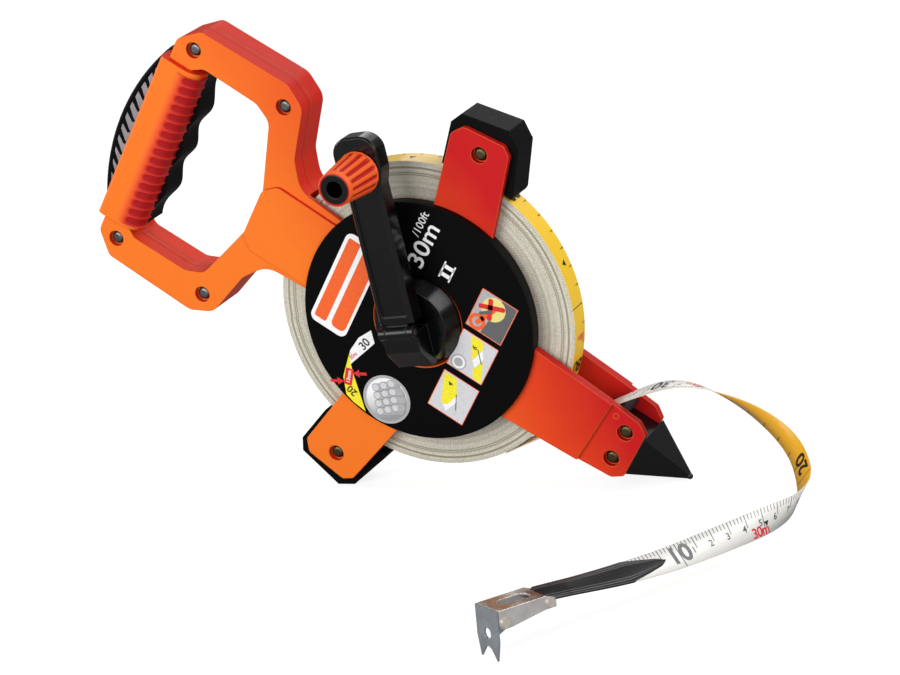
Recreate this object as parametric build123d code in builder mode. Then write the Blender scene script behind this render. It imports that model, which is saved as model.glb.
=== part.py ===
from build123d import *
import os
from math import cos, pi, radians, sin, tan

# Open-frame surveyor tape reel for a 30 m tape. Millimetres.
# It stands on the flat of its lower rubber foot and the tip of its ground spike, +Z up.
# The reel axis lies along Y and the crank is on the -Y side. Most pieces are drawn in the
# reel's own axes: u along the main axis from handle to spike, v across it, and depth
# towards the crank, all from the middle of the tape at the hub.

# Driving dimensions
TAPE_WIDTH = 13.0
TAPE_THICKNESS = 0.5
ROLL_RADIUS = 82.0
CORE_RADIUS = 49.0
LEAN = 35.6  # degrees that the main axis drops from the handle to the spike
HUB_HEIGHT = 93.0
HUB = Vector(25.7, 24.5, HUB_HEIGHT)

PLATE_BACK = 9.5  # depth of the frame plates' inner faces
HANDLE_DEPTH = 12.0
HUB_FACE = 14.5
ARM_END_FACE = 13.0
SPACER_HALF = 9.4  # half thickness of what is clamped between the plates
ROLL_CLEARANCE = 85.0
WALL = 3.0

HUB_DISC_RADIUS = 62.8
LABEL_RADIUS = 63.8
FRONT_LABEL_THICKNESS = 2.5
REAR_LABEL_THICKNESS = 1.0
BOSS_RADIUS = 24.0
COLLAR_OUTER = 25.6
COLLAR_INNER = 24.6
COLLAR_FACE = 16.6
WEB_FACE = 12.5
AXLE_RADIUS = 6.0
BUSH_RADIUS = 9.0
RUNNING_GAP = 0.05

SCREW_RADIUS = 1.6
HEAD_RADIUS = 3.5
HEAD_HEIGHT = 2.2
RECESS_RADIUS = 4.3
RECESS_DEPTH = 3.2
SCREW_HOLE = SCREW_RADIUS + RUNNING_GAP
HANDLE_SCREWS = [(-167.9, 60.7), (-112.0, 60.7), (-167.9, -60.7), (-112.0, -60.7)]
FOOT_SCREWS = [(-9.5, 97.6), (-9.5, -97.6)]
SPIKE_SCREWS = [(119.6, 8.4), (119.6, -8.4)]

GRIP_HALF_LENGTH = 50.0
GRIP_FACE = 16.0
GRIP_SPLIT = 5.0  # depth where the rubber grips meet the front of the handle bar
BAR_OUTER = -178.5
BAR_INNER = -166.0
FINGER_PITCH = 24.0
FINGER_PEAK = -154.8
FINGER_VALLEY = -158.0
FINGER_END = 47.0
SWELL_EDGE = -183.0  # where the palm swell meets its two ends
PALM_CROWN = -194.5
FRONT_BAR_OUTER = -182.0
FRONT_BAR_INNER = -158.0

SPIKE_BASE = 129.8
SPIKE_WIDTH = 23.0
SPIKE_BLOCK = 17.0  # length of the block clamped between the arms
SPIKE_TIP_RADIUS = 1.6
SPIKE_TIP_U = (HUB_HEIGHT - SPIKE_TIP_RADIUS) / sin(radians(LEAN))

TAPE_ANGLE = 57.4  # direction in which the tape leaves the roll, degrees from the main axis
ROLL_GAP = 0.35
SPAN_LENGTH = 75.6
GUIDE_RADIUS = 3.5
GUIDE_PIN_RADIUS = 1.5
GUIDE_ALONG = 72.0

CRANK_ANGLE = 129.0  # direction of the crank arm, degrees from the main axis
CRANK_RADIUS = 86.5
CRANK_WIDTH = 19.5
CRANK_BACK = 27.0
CRANK_FACE = 38.0
CRANK_END = 104.5
BOSS_FACE = 25.5
HINGE_ALONG = 2.0
HINGE_DEPTH = 38.6
KNUCKLE_RADIUS = 3.4
KNUCKLE_HALF = 5.8
HINGE_PIN_RADIUS = 1.6
SWING_GAP = 0.35
SLEEVE_RADIUS = 6.2
SLEEVE_BORE = 4.4
KNOB_BASE = 38.4
KNOB_TIP = 65.0
KNOB_BASE_RADIUS = 11.2
KNOB_TIP_RADIUS = 8.8
KNOB_FLUTES = 14

TAPE_CORD_RADIUS = 1.5

ALONG = Vector(cos(radians(LEAN)), 0, -sin(radians(LEAN)))
ACROSS = Vector(sin(radians(LEAN)), 0, cos(radians(LEAN)))
FRONT = Vector(0, -1, 0)
CRANK_ALONG = ALONG * cos(radians(CRANK_ANGLE)) + ACROSS * sin(radians(CRANK_ANGLE))


def face_at(depth):
    """The plane square to the reel axis, depth in front of the middle of the tape."""
    return Plane(origin=HUB + FRONT * depth, x_dir=ALONG, z_dir=FRONT)


def crank_at(depth):
    """The same plane turned so that its x runs along the crank arm."""
    return Plane(origin=HUB + FRONT * depth, x_dir=CRANK_ALONG, z_dir=FRONT)


def world_point(u, v, depth=0.0):
    return HUB + ALONG * u + ACROSS * v + FRONT * depth


def mirrored(half):
    """A closed outline from its v > 0 half, listed from the first point round to the last."""
    return half + [(u, -v) for u, v in reversed(half)]


def rounded_outline(points, radii):
    """A face with rounded corners, one radius for each point of its v > 0 half."""
    with BuildSketch() as sketch:
        with BuildLine():
            FilletPolyline(*mirrored(points), radius=radii + radii[::-1], close=True)
        make_face()
    return sketch.sketch


def floor_v(u):
    """Where the floor line lies at u."""
    return (u * sin(radians(LEAN)) - HUB_HEIGHT) / cos(radians(LEAN))


HANDLE_OUTLINE = rounded_outline(
    [(-52, 22), (-86, 24.5), (-95.5, 38), (-102.5, 66), (-115, 73), (-168, 72), (-178.5, 61.5)],
    [2, 14, 12, 9, 9, 5, 5],
)
HANDLE_OPENING = rounded_outline(
    [(-101.5, 4), (-115.8, 49), (-126, 54), (-159, 54.5), (-166.5, 49)],
    [10, 8, 8, 6, 4],
)
NECK_PAD = rounded_outline([(-50, 19.5), (-97, 20.5), (-104, 14)], [2, 5, 5])
SPIKE_ARM = rounded_outline([(48, 22.4), (104, 19.3), (124, 17.6), (129.5, 13.2)], [1, 60, 3, 2])


def foot_arm():
    """One short arm of the frame, on the v > 0 side."""
    corners = [(-18.5, 56), (-27.4, 100), (-22.9, 106.3), (-0.3, 108.9), (4.6, 105), (16.5, 56)]
    with BuildSketch() as sketch:
        with BuildLine():
            FilletPolyline(*corners, radius=[1, 4, 3, 3, 3, 1], close=True)
        make_face()
    return sketch.sketch


FOOT_ARM = foot_arm()


def foot_outline():
    """One rubber foot, on the v < 0 side, whose last corners lie on the floor line."""
    corners = [
        (-24.5, -75),
        (-30.6, -103.5),
        (-27.4, -110.2),
        (-2.0, floor_v(-2.0)),
        (6.0, floor_v(6.0)),
        (14.4, -86),
        (13.0, -75),
    ]
    with BuildSketch() as sketch:
        with BuildLine():
            Polyline(*corners, close=True)
        make_face()
        Circle(ROLL_CLEARANCE, mode=Mode.SUBTRACT)
    return sketch.sketch


FOOT = foot_outline()


def frame_shell(side):
    """One moulded half of the frame, on the crank side (1) or the far side (-1)."""

    def layer(sketches, start, end, mode=Mode.ADD):
        with BuildSketch(face_at(side * start)) as profile:
            for sketch in sketches:
                add(sketch)
        extrude(profile.sketch, amount=side * (end - start), mode=mode)

    def posts(points, radius, start, end, mode=Mode.ADD):
        with BuildSketch(face_at(side * start)) as profile:
            with Locations(*points):
                Circle(radius)
        extrude(profile.sketch, amount=side * (end - start), mode=mode)

    def disc(radius, start, end, mode=Mode.ADD, bore=0.0):
        with BuildSketch(face_at(side * start)) as profile:
            Circle(radius)
            if bore:
                Circle(bore, mode=Mode.SUBTRACT)
        extrude(profile.sketch, amount=side * (end - start), mode=mode)

    with BuildPart() as shell:
        # The D handle, hollow behind its front wall, with a post round each screw
        layer([HANDLE_OUTLINE], 0, HANDLE_DEPTH)
        layer([HANDLE_OPENING], 0, HANDLE_DEPTH, Mode.SUBTRACT)
        disc(ROLL_CLEARANCE, 0, PLATE_BACK, Mode.SUBTRACT)
        with BuildSketch(face_at(0)):
            add(HANDLE_OUTLINE)
            offset(amount=-WALL, kind=Kind.INTERSECTION)
            with BuildSketch(mode=Mode.SUBTRACT):
                add(HANDLE_OPENING)
                offset(amount=WALL, kind=Kind.INTERSECTION)
            Circle(ROLL_CLEARANCE + WALL, mode=Mode.SUBTRACT)
            with Locations(*HANDLE_SCREWS):
                Circle(RECESS_RADIUS + 1.5, mode=Mode.SUBTRACT)
        extrude(amount=side * (HANDLE_DEPTH - WALL), mode=Mode.SUBTRACT)
        # The arms, with a lip along each edge, and the hub disc over their roots
        layer([NECK_PAD], PLATE_BACK, HUB_FACE)
        layer([SPIKE_ARM], PLATE_BACK, HUB_FACE)
        layer([FOOT_ARM, mirror(FOOT_ARM, about=Plane.XZ)], PLATE_BACK, ARM_END_FACE)
        disc(HUB_DISC_RADIUS, PLATE_BACK, HUB_FACE)
        # The spike arm steps down before its screws
        with BuildSketch(face_at(side * ARM_END_FACE)):
            with BuildLine():
                Polyline((104, -30), (108, 30), (140, 30), (140, -30), close=True)
            make_face()
        extrude(amount=side * (HUB_FACE - ARM_END_FACE), mode=Mode.SUBTRACT)
        # The hub: a collar on the crank side, a web on both sides, and the bush seat
        if side > 0:
            disc(COLLAR_OUTER, HUB_FACE, COLLAR_FACE, bore=COLLAR_INNER)
            disc(COLLAR_INNER, WEB_FACE, COLLAR_FACE, Mode.SUBTRACT)
        else:
            disc(BUSH_RADIUS + 5, WEB_FACE, HUB_FACE, Mode.SUBTRACT)
        disc(BUSH_RADIUS, 0, HUB_FACE, Mode.SUBTRACT)
        # The front of the handle bar swells over the rubber grips
        if side > 0:
            with BuildSketch(face_at(GRIP_SPLIT)):
                with Locations(((FRONT_BAR_OUTER + FRONT_BAR_INNER) / 2, 0)):
                    Rectangle(FRONT_BAR_INNER - FRONT_BAR_OUTER, 2 * GRIP_HALF_LENGTH)
            bar = extrude(amount=GRIP_FACE - GRIP_SPLIT)
            rim = bar.faces().sort_by(Axis.Y)[0].edges()
            by_u = sorted(rim, key=lambda edge: (edge.center() - HUB).dot(ALONG))
            for edge, radius in ((by_u[0], 2.5), (by_u[-1], 10.0)):
                same = edge.center()
                fillet(shell.edges().sort_by(lambda e: (e.center() - same).length)[0], radius)
        # Screw recesses on the crank side, holes on both
        if side > 0:
            floors = [
                (HANDLE_SCREWS, HANDLE_DEPTH),
                (FOOT_SCREWS, ARM_END_FACE),
                (SPIKE_SCREWS, ARM_END_FACE),
            ]
            posts(SPIKE_SCREWS + FOOT_SCREWS, RECESS_RADIUS + 1.2, SPACER_HALF, PLATE_BACK)
            for points, face in floors:
                posts(points, RECESS_RADIUS, face - RECESS_DEPTH, face, Mode.SUBTRACT)
            posts(HANDLE_SCREWS + FOOT_SCREWS + SPIKE_SCREWS, SCREW_HOLE, 0, GRIP_FACE, Mode.SUBTRACT)
        else:
            posts(HANDLE_SCREWS, SCREW_HOLE, 0, HANDLE_DEPTH - WALL, Mode.SUBTRACT)
            posts(FOOT_SCREWS + SPIKE_SCREWS, SCREW_HOLE, 0, PLATE_BACK + 2, Mode.SUBTRACT)
        posts([GUIDE_CENTRE], GUIDE_PIN_RADIUS, 0, HUB_FACE, Mode.SUBTRACT)
    return shell


# The tape leaves the roll along a tangent and passes a guide roller in the spike arm
TANGENT_AT = TAPE_ANGLE - 90
OUTWARD = (cos(radians(TANGENT_AT)), sin(radians(TANGENT_AT)))
HEADING = (cos(radians(TAPE_ANGLE)), sin(radians(TAPE_ANGLE)))
SPAN_OFFSET = ROLL_RADIUS + ROLL_GAP + TAPE_THICKNESS / 2
GUIDE_OFFSET = SPAN_OFFSET + TAPE_THICKNESS / 2 + 0.1 + GUIDE_RADIUS
GUIDE_CENTRE = (
    OUTWARD[0] * GUIDE_OFFSET + HEADING[0] * GUIDE_ALONG,
    OUTWARD[1] * GUIDE_OFFSET + HEADING[1] * GUIDE_ALONG,
)
SPAN_END = (
    OUTWARD[0] * SPAN_OFFSET + HEADING[0] * SPAN_LENGTH,
    OUTWARD[1] * SPAN_OFFSET + HEADING[1] * SPAN_LENGTH,
)

os.makedirs("parts", exist_ok=True)

# --- frame -------------------------------------------------------------------------------
frame_front_shell = frame_shell(1)
frame_rear_shell = frame_shell(-1)
frame_front_shell.part.label = "frame_front_shell"
frame_rear_shell.part.label = "frame_rear_shell"
export_step(frame_front_shell.part, "parts/frame_front_shell.step")
export_step(frame_rear_shell.part, "parts/frame_rear_shell.step")

# Two rubber grips wrap the far part of the handle bar: a palm swell and a finger side
with BuildPart() as palm_grip:
    with BuildSketch(face_at(-HANDLE_DEPTH)):
        with BuildLine():
            top = GRIP_HALF_LENGTH + 1
            Polyline((SWELL_EDGE, -top), (BAR_OUTER, -top), (BAR_OUTER, top), (SWELL_EDGE, top))
            ThreePointArc((SWELL_EDGE, top), (PALM_CROWN, -2), (SWELL_EDGE, -top))
        make_face()
    extrude(amount=HANDLE_DEPTH + GRIP_SPLIT)
    swell = palm_grip.edges().filter_by(GeomType.CIRCLE)
    fillet(swell, 2.0)
palm_grip.part.label = "palm_grip"
export_step(palm_grip.part, "parts/palm_grip.step")

with BuildPart() as finger_grip:
    with BuildSketch(face_at(-HANDLE_DEPTH)):
        with BuildLine():
            Polyline(
                (FINGER_VALLEY, FINGER_END),
                (BAR_INNER, FINGER_END),
                (BAR_INNER, -FINGER_END),
                (FINGER_VALLEY, -FINGER_END),
            )
            waves = [(FINGER_VALLEY, -FINGER_END)]
            for half_wave in range(-3, 4):
                crest = FINGER_VALLEY if half_wave % 2 else FINGER_PEAK
                waves.append((crest, half_wave * FINGER_PITCH / 2))
            Spline(*waves, (FINGER_VALLEY, FINGER_END))
        make_face()
    extrude(amount=HANDLE_DEPTH + GRIP_SPLIT)
finger_grip.part.label = "finger_grip"
export_step(finger_grip.part, "parts/finger_grip.step")

# Rubber feet between the short arms
for name, flipped in (("lower_foot", False), ("upper_foot", True)):
    with BuildPart() as foot:
        with BuildSketch(face_at(-SPACER_HALF)):
            add(mirror(FOOT, about=Plane.XZ) if flipped else FOOT)
            with Locations(FOOT_SCREWS[0] if flipped else FOOT_SCREWS[1]):
                Circle(SCREW_HOLE, mode=Mode.SUBTRACT)
        extrude(amount=2 * SPACER_HALF)
    foot.part.label = name
    export_step(foot.part, f"parts/{name}.step")

# The ground spike: a pyramid with a rounded tip, and a block clamped between the arms
with BuildPart() as ground_spike:
    spike_axis = Plane(origin=world_point(SPIKE_BASE, 0), x_dir=ACROSS, z_dir=ALONG)
    with BuildSketch(spike_axis):
        Rectangle(SPIKE_WIDTH, 2 * ARM_END_FACE)
    with BuildSketch(spike_axis.offset(SPIKE_TIP_U - SPIKE_BASE)):
        Rectangle(2.2, 2.2)
    loft()
    with Locations(world_point(SPIKE_TIP_U, 0)):
        Sphere(SPIKE_TIP_RADIUS)
    with BuildSketch(face_at(-SPACER_HALF)):
        with Locations((SPIKE_BASE - SPIKE_BLOCK / 2 + 0.5, 0)):
            Rectangle(SPIKE_BLOCK, SPIKE_WIDTH - 2)
        with Locations(*SPIKE_SCREWS):
            Circle(SCREW_HOLE, mode=Mode.SUBTRACT)
    extrude(amount=2 * SPACER_HALF)
ground_spike.part.label = "ground_spike"
export_step(ground_spike.part, "parts/ground_spike.step")


def screws(points, head_floor, tip):
    """A group of pan-head screws driven from the crank side."""
    with BuildPart() as group:
        with BuildSketch(face_at(tip)) as shanks:
            with Locations(*points):
                Circle(SCREW_RADIUS)
        extrude(shanks.sketch, amount=head_floor - tip)
        with BuildSketch(face_at(head_floor)) as heads:
            with Locations(*points):
                Circle(HEAD_RADIUS)
        extrude(heads.sketch, amount=HEAD_HEIGHT)
        tops = group.faces().filter_by(Axis.Y).group_by(Axis.Y)[0]
        fillet(tops.edges(), HEAD_HEIGHT - 0.3)
    return group


handle_screws = screws(HANDLE_SCREWS, HANDLE_DEPTH - RECESS_DEPTH, -HANDLE_DEPTH + WALL)
foot_screws = screws(FOOT_SCREWS, ARM_END_FACE - RECESS_DEPTH, -PLATE_BACK - 2)
spike_screws = screws(SPIKE_SCREWS, ARM_END_FACE - RECESS_DEPTH, -PLATE_BACK - 2)
for name, group in (
    ("handle_screws", handle_screws),
    ("foot_screws", foot_screws),
    ("spike_screws", spike_screws),
):
    group.part.label = name
    export_step(group.part, f"parts/{name}.step")

# Printed discs on both sides of the hub
for name, side, bore, thickness in (
    ("front_label", 1, COLLAR_OUTER, FRONT_LABEL_THICKNESS),
    ("rear_label", -1, BUSH_RADIUS + 5, REAR_LABEL_THICKNESS),
):
    with BuildPart() as label:
        with BuildSketch(face_at(side * HUB_FACE)):
            Circle(LABEL_RADIUS)
            Circle(bore, mode=Mode.SUBTRACT)
        extrude(amount=side * thickness)
    label.part.label = name
    export_step(label.part, f"parts/{name}.step")

with BuildPart() as axle_bushes:
    for side in (1, -1):
        with BuildSketch(face_at(side * PLATE_BACK)):
            Circle(BUSH_RADIUS)
            Circle(AXLE_RADIUS + RUNNING_GAP, mode=Mode.SUBTRACT)
        extrude(amount=side * (WEB_FACE - PLATE_BACK))
axle_bushes.part.label = "axle_bushes"
export_step(axle_bushes.part, "parts/axle_bushes.step")

# --- reel --------------------------------------------------------------------------------
DRUM_SLEEVE_HALF = 9.2
DRUM_SLEEVE_RADIUS = 12.0
DRUM_RIM = 4.0
DRUM_WEB = 3.0
FLANGE_RADIUS = 57.0
LIGHTENING_CIRCLE = 29.0
LIGHTENING_RADIUS = 9.0
with BuildPart() as reel_drum:
    with BuildSketch(face_at(-TAPE_WIDTH / 2)):
        Circle(CORE_RADIUS)
        Circle(CORE_RADIUS - DRUM_RIM, mode=Mode.SUBTRACT)
    extrude(amount=TAPE_WIDTH)
    with BuildSketch(face_at(-DRUM_WEB / 2)):
        Circle(CORE_RADIUS)
        Circle(AXLE_RADIUS, mode=Mode.SUBTRACT)
        with PolarLocations(LIGHTENING_CIRCLE, 6):
            Circle(LIGHTENING_RADIUS, mode=Mode.SUBTRACT)
    extrude(amount=DRUM_WEB)
    for side in (1, -1):
        with BuildSketch(face_at(side * TAPE_WIDTH / 2)):
            Circle(FLANGE_RADIUS)
            Circle(CORE_RADIUS - DRUM_RIM, mode=Mode.SUBTRACT)
        extrude(amount=side)
    with BuildSketch(face_at(-DRUM_SLEEVE_HALF)):
        Circle(DRUM_SLEEVE_RADIUS)
        Circle(AXLE_RADIUS, mode=Mode.SUBTRACT)
    extrude(amount=2 * DRUM_SLEEVE_HALF)
reel_drum.part.label = "reel_drum"
export_step(reel_drum.part, "parts/reel_drum.step")

with BuildPart() as tape_roll:
    with BuildSketch(face_at(-TAPE_WIDTH / 2)):
        Circle(ROLL_RADIUS)
        Circle(CORE_RADIUS, mode=Mode.SUBTRACT)
    extrude(amount=TAPE_WIDTH)
tape_roll.part.label = "tape_roll"
export_step(tape_roll.part, "parts/tape_roll.step")

AXLE_END = BOSS_FACE - 2  # depth where the axle stops inside the crank boss
CAP_DEPTH = -13.0
CAP_HEIGHT = 3.0
with BuildPart() as reel_axle:
    with BuildSketch(face_at(CAP_DEPTH)):
        Circle(AXLE_RADIUS)
    extrude(amount=AXLE_END - CAP_DEPTH)
reel_axle.part.label = "reel_axle"
export_step(reel_axle.part, "parts/reel_axle.step")

with BuildPart() as axle_cap:
    with BuildSketch(face_at(CAP_DEPTH)):
        Circle(BUSH_RADIUS + 3)
    extrude(amount=-CAP_HEIGHT)
    chamfer(axle_cap.edges().sort_by(Axis.Y)[-1], 1)
axle_cap.part.label = "axle_cap"
export_step(axle_cap.part, "parts/axle_cap.step")

# --- crank -------------------------------------------------------------------------------
BOSS_BACK = 13.0
BOSS_STRAIGHT = 4.0
BOSS_TOP_RADIUS = 19.5
PIN_AXIS = Plane(
    origin=crank_at(HINGE_DEPTH).from_local_coords((HINGE_ALONG, 0, 0)),
    x_dir=crank_at(0).x_dir,
    z_dir=crank_at(0).y_dir,
)


def pin_disc(radius, near, far, mode=Mode.ADD):
    """A cylinder round the crank hinge pin between two distances across the crank."""
    with BuildSketch(PIN_AXIS.offset(near)) as ring:
        Circle(radius)
    extrude(ring.sketch, amount=far - near, mode=mode)


def crank_block(points, half_width, mode=Mode.ADD):
    """A bar across the crank whose section is given by distances along it and depths."""
    section = Plane(origin=HUB, x_dir=crank_at(0).x_dir, z_dir=-crank_at(0).y_dir)
    with BuildSketch(section) as profile:
        with BuildLine():
            Polyline(*points, close=True)
        make_face()
    extrude(profile.sketch, amount=half_width, both=True, mode=mode)


with BuildPart() as crank_boss:
    with BuildSketch(face_at(BOSS_BACK)):
        Circle(BOSS_RADIUS)
    extrude(amount=BOSS_STRAIGHT)
    with BuildSketch(face_at(BOSS_BACK + BOSS_STRAIGHT)):
        Circle(BOSS_RADIUS)
    with BuildSketch(face_at(BOSS_FACE)):
        Circle(BOSS_TOP_RADIUS)
    loft()
    block = [(-BOSS_TOP_RADIUS, AXLE_END), (1.2, AXLE_END), (1.2, 36), (0.2, CRANK_FACE)]
    block += [(-9, CRANK_FACE), (-BOSS_TOP_RADIUS, 29)]
    crank_block(block, CRANK_WIDTH / 2)
    cheek = KNUCKLE_HALF + SWING_GAP
    pin_disc(KNUCKLE_RADIUS + SWING_GAP, -cheek, cheek, Mode.SUBTRACT)
    for near, far in ((-CRANK_WIDTH / 2, -cheek), (cheek, CRANK_WIDTH / 2)):
        pin_disc(KNUCKLE_RADIUS, near, far)
    pin_disc(HINGE_PIN_RADIUS, -CRANK_WIDTH / 2, CRANK_WIDTH / 2, Mode.SUBTRACT)
    with BuildSketch(face_at(BOSS_BACK)):
        Circle(AXLE_RADIUS)
    extrude(amount=AXLE_END - BOSS_BACK, mode=Mode.SUBTRACT)
crank_boss.part.label = "crank_boss"
export_step(crank_boss.part, "parts/crank_boss.step")

with BuildPart() as crank_hinge_pin:
    pin_disc(HINGE_PIN_RADIUS, -CRANK_WIDTH / 2, CRANK_WIDTH / 2)
crank_hinge_pin.part.label = "crank_hinge_pin"
export_step(crank_hinge_pin.part, "parts/crank_hinge_pin.step")

ARM_ROOT = HINGE_ALONG + KNUCKLE_RADIUS + SWING_GAP
HEAD_HALF_WIDTH = 12.3
PANEL_DEPTH = 1.2
with BuildPart() as crank_arm:
    with BuildSketch(crank_at(CRANK_BACK)) as outline:
        with BuildLine():
            half = [(ARM_ROOT, CRANK_WIDTH / 2), (78, CRANK_WIDTH / 2)]
            half += [(86, HEAD_HALF_WIDTH), (CRANK_END, HEAD_HALF_WIDTH)]
            radii = [1.5, 6, 12, 9]
            FilletPolyline(*mirrored(half), radius=radii + radii[::-1], close=True)
        make_face()
    extrude(outline.sketch, amount=CRANK_FACE - CRANK_BACK)
    front_rim = crank_arm.faces().sort_by(Axis.Y)[0].edges()
    chamfer(front_rim, 0.8)
    with BuildSketch(crank_at(CRANK_FACE - PANEL_DEPTH)):
        with Locations((42.5, 0)):
            RectangleRounded(65, 15, 1.5)
    extrude(amount=PANEL_DEPTH, mode=Mode.SUBTRACT)
    tongue = [(HINGE_ALONG, 36), (ARM_ROOT + 2, 30)]
    tongue += [(ARM_ROOT + 2, CRANK_FACE), (HINGE_ALONG, CRANK_FACE)]
    crank_block(tongue, KNUCKLE_HALF)
    pin_disc(KNUCKLE_RADIUS, -KNUCKLE_HALF, KNUCKLE_HALF)
    pin_disc(HINGE_PIN_RADIUS + RUNNING_GAP, -KNUCKLE_HALF, KNUCKLE_HALF, Mode.SUBTRACT)
    with BuildSketch(crank_at(CRANK_BACK)):
        with Locations((CRANK_RADIUS, 0)):
            Circle(SLEEVE_RADIUS)
    extrude(amount=CRANK_FACE - CRANK_BACK, mode=Mode.SUBTRACT)
crank_arm.part.label = "crank_arm"
export_step(crank_arm.part, "parts/crank_arm.step")

# The knob turns on a tube pressed into the arm, under the tube's flanged end
SLEEVE_FLANGE = 7.4
FLANGE_DEPTH = 2.0
FLANGE_GAP = 0.1
SLEEVE_FLOOR = 3.0
FLUTE_RADIUS = 1.3
PLAIN_RIM = 2.6
with BuildPart() as knob_sleeve:
    with BuildSketch(crank_at(CRANK_BACK)):
        with Locations((CRANK_RADIUS, 0)):
            Circle(SLEEVE_RADIUS)
    extrude(amount=KNOB_TIP - CRANK_BACK)
    with BuildSketch(crank_at(KNOB_TIP - FLANGE_DEPTH + FLANGE_GAP)):
        with Locations((CRANK_RADIUS, 0)):
            Circle(SLEEVE_FLANGE)
    extrude(amount=FLANGE_DEPTH - FLANGE_GAP)
    with BuildSketch(crank_at(CRANK_BACK + SLEEVE_FLOOR)):
        with Locations((CRANK_RADIUS, 0)):
            Circle(SLEEVE_BORE)
    extrude(amount=KNOB_TIP, mode=Mode.SUBTRACT)
knob_sleeve.part.label = "knob_sleeve"
export_step(knob_sleeve.part, "parts/knob_sleeve.step")

with BuildPart() as crank_knob:
    with BuildSketch(crank_at(KNOB_BASE)):
        with Locations((CRANK_RADIUS, 0)):
            Circle(KNOB_BASE_RADIUS)
    with BuildSketch(crank_at(KNOB_TIP)):
        with Locations((CRANK_RADIUS, 0)):
            Circle(KNOB_TIP_RADIUS)
    loft()
    with BuildSketch(crank_at(KNOB_BASE)):
        with Locations((CRANK_RADIUS, 0)):
            with PolarLocations(KNOB_BASE_RADIUS + FLUTE_RADIUS / 2, KNOB_FLUTES):
                Circle(FLUTE_RADIUS)
    extrude(amount=KNOB_TIP - KNOB_BASE - PLAIN_RIM, mode=Mode.SUBTRACT)
    with BuildSketch(crank_at(KNOB_BASE)):
        with Locations((CRANK_RADIUS, 0)):
            Circle(SLEEVE_RADIUS + RUNNING_GAP)
    extrude(amount=KNOB_TIP, mode=Mode.SUBTRACT)
    with BuildSketch(crank_at(KNOB_TIP - FLANGE_DEPTH)):
        with Locations((CRANK_RADIUS, 0)):
            Circle(SLEEVE_FLANGE + FLANGE_GAP)
    extrude(amount=FLANGE_DEPTH, mode=Mode.SUBTRACT)
crank_knob.part.label = "crank_knob"
export_step(crank_knob.part, "parts/crank_knob.step")

# --- tape guide and free tape ------------------------------------------------------------
with BuildPart() as guide_pin:
    with BuildSketch(face_at(-ARM_END_FACE)):
        with Locations(GUIDE_CENTRE):
            Circle(GUIDE_PIN_RADIUS)
    extrude(amount=2 * ARM_END_FACE)
guide_pin.part.label = "guide_pin"
export_step(guide_pin.part, "parts/guide_pin.step")

with BuildPart() as guide_roller:
    with BuildSketch(face_at(1 - PLATE_BACK)):
        with Locations(GUIDE_CENTRE):
            Circle(GUIDE_RADIUS)
            Circle(GUIDE_PIN_RADIUS + RUNNING_GAP, mode=Mode.SUBTRACT)
    extrude(amount=2 * (PLATE_BACK - 1))
guide_roller.part.label = "guide_roller"
export_step(guide_roller.part, "parts/guide_roller.step")

with BuildPart() as tape_span:
    with BuildSketch(face_at(-TAPE_WIDTH / 2)):
        middle = SPAN_LENGTH / 2
        centre = (
            OUTWARD[0] * SPAN_OFFSET + HEADING[0] * middle,
            OUTWARD[1] * SPAN_OFFSET + HEADING[1] * middle,
        )
        with Locations(Location((*centre, 0), (0, 0, TAPE_ANGLE))):
            Rectangle(SPAN_LENGTH, TAPE_THICKNESS)
    extrude(amount=TAPE_WIDTH)
tape_span.part.label = "tape_span"
export_step(tape_span.part, "parts/tape_span.step")

# The free tape: a route from the guide over a loop on the floor to the reinforced end.
# Its points are measured from the hub's place on the floor.
FOOTPRINT = Vector(HUB.X, HUB.Y, 0)
ROUTE = [
    (120.0, -5.5, 52.9),
    (144.0, -10.5, 55.0),
    (169.0, -8.5, 42.5),
    (189.5, -12.0, 26.0),
    (202.0, -31.0, 13.5),
    (205.0, -55.0, 11.0),
    (198.0, -78.0, 12.8),
    (183.0, -104.0, 13.9),
    (168.8, -126.5, 14.8),
]
route = [world_point(*SPAN_END)] + [FOOTPRINT + Vector(*point) for point in ROUTE]
runs = [(b - a).length for a, b in zip(route, route[1:])]
turns = [
    (b - a).get_angle(c - b)
    for a, b, c in zip(route, route[1:], route[2:])
]
bends = [
    0.45 * min(before, after) / tan(radians(turn) / 2)
    for before, after, turn in zip(runs, runs[1:], turns)
]
print("free tape bend radii:", [round(bend, 1) for bend in bends])
with BuildPart() as tape_free_end:
    with BuildLine() as tape_line:
        FilletPolyline(*route, radius=bends)
    with BuildSketch(Plane(origin=route[0], z_dir=route[1] - route[0])):
        Circle(TAPE_CORD_RADIUS)
    sweep()
tape_length = sum(edge.length for edge in tape_line.edges())
print("free tape volume over section times length:",
      tape_free_end.part.volume / (pi * TAPE_CORD_RADIUS**2 * tape_length))
tape_free_end.part.label = "tape_free_end"
export_step(tape_free_end.part, "parts/tape_free_end.step")

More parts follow.
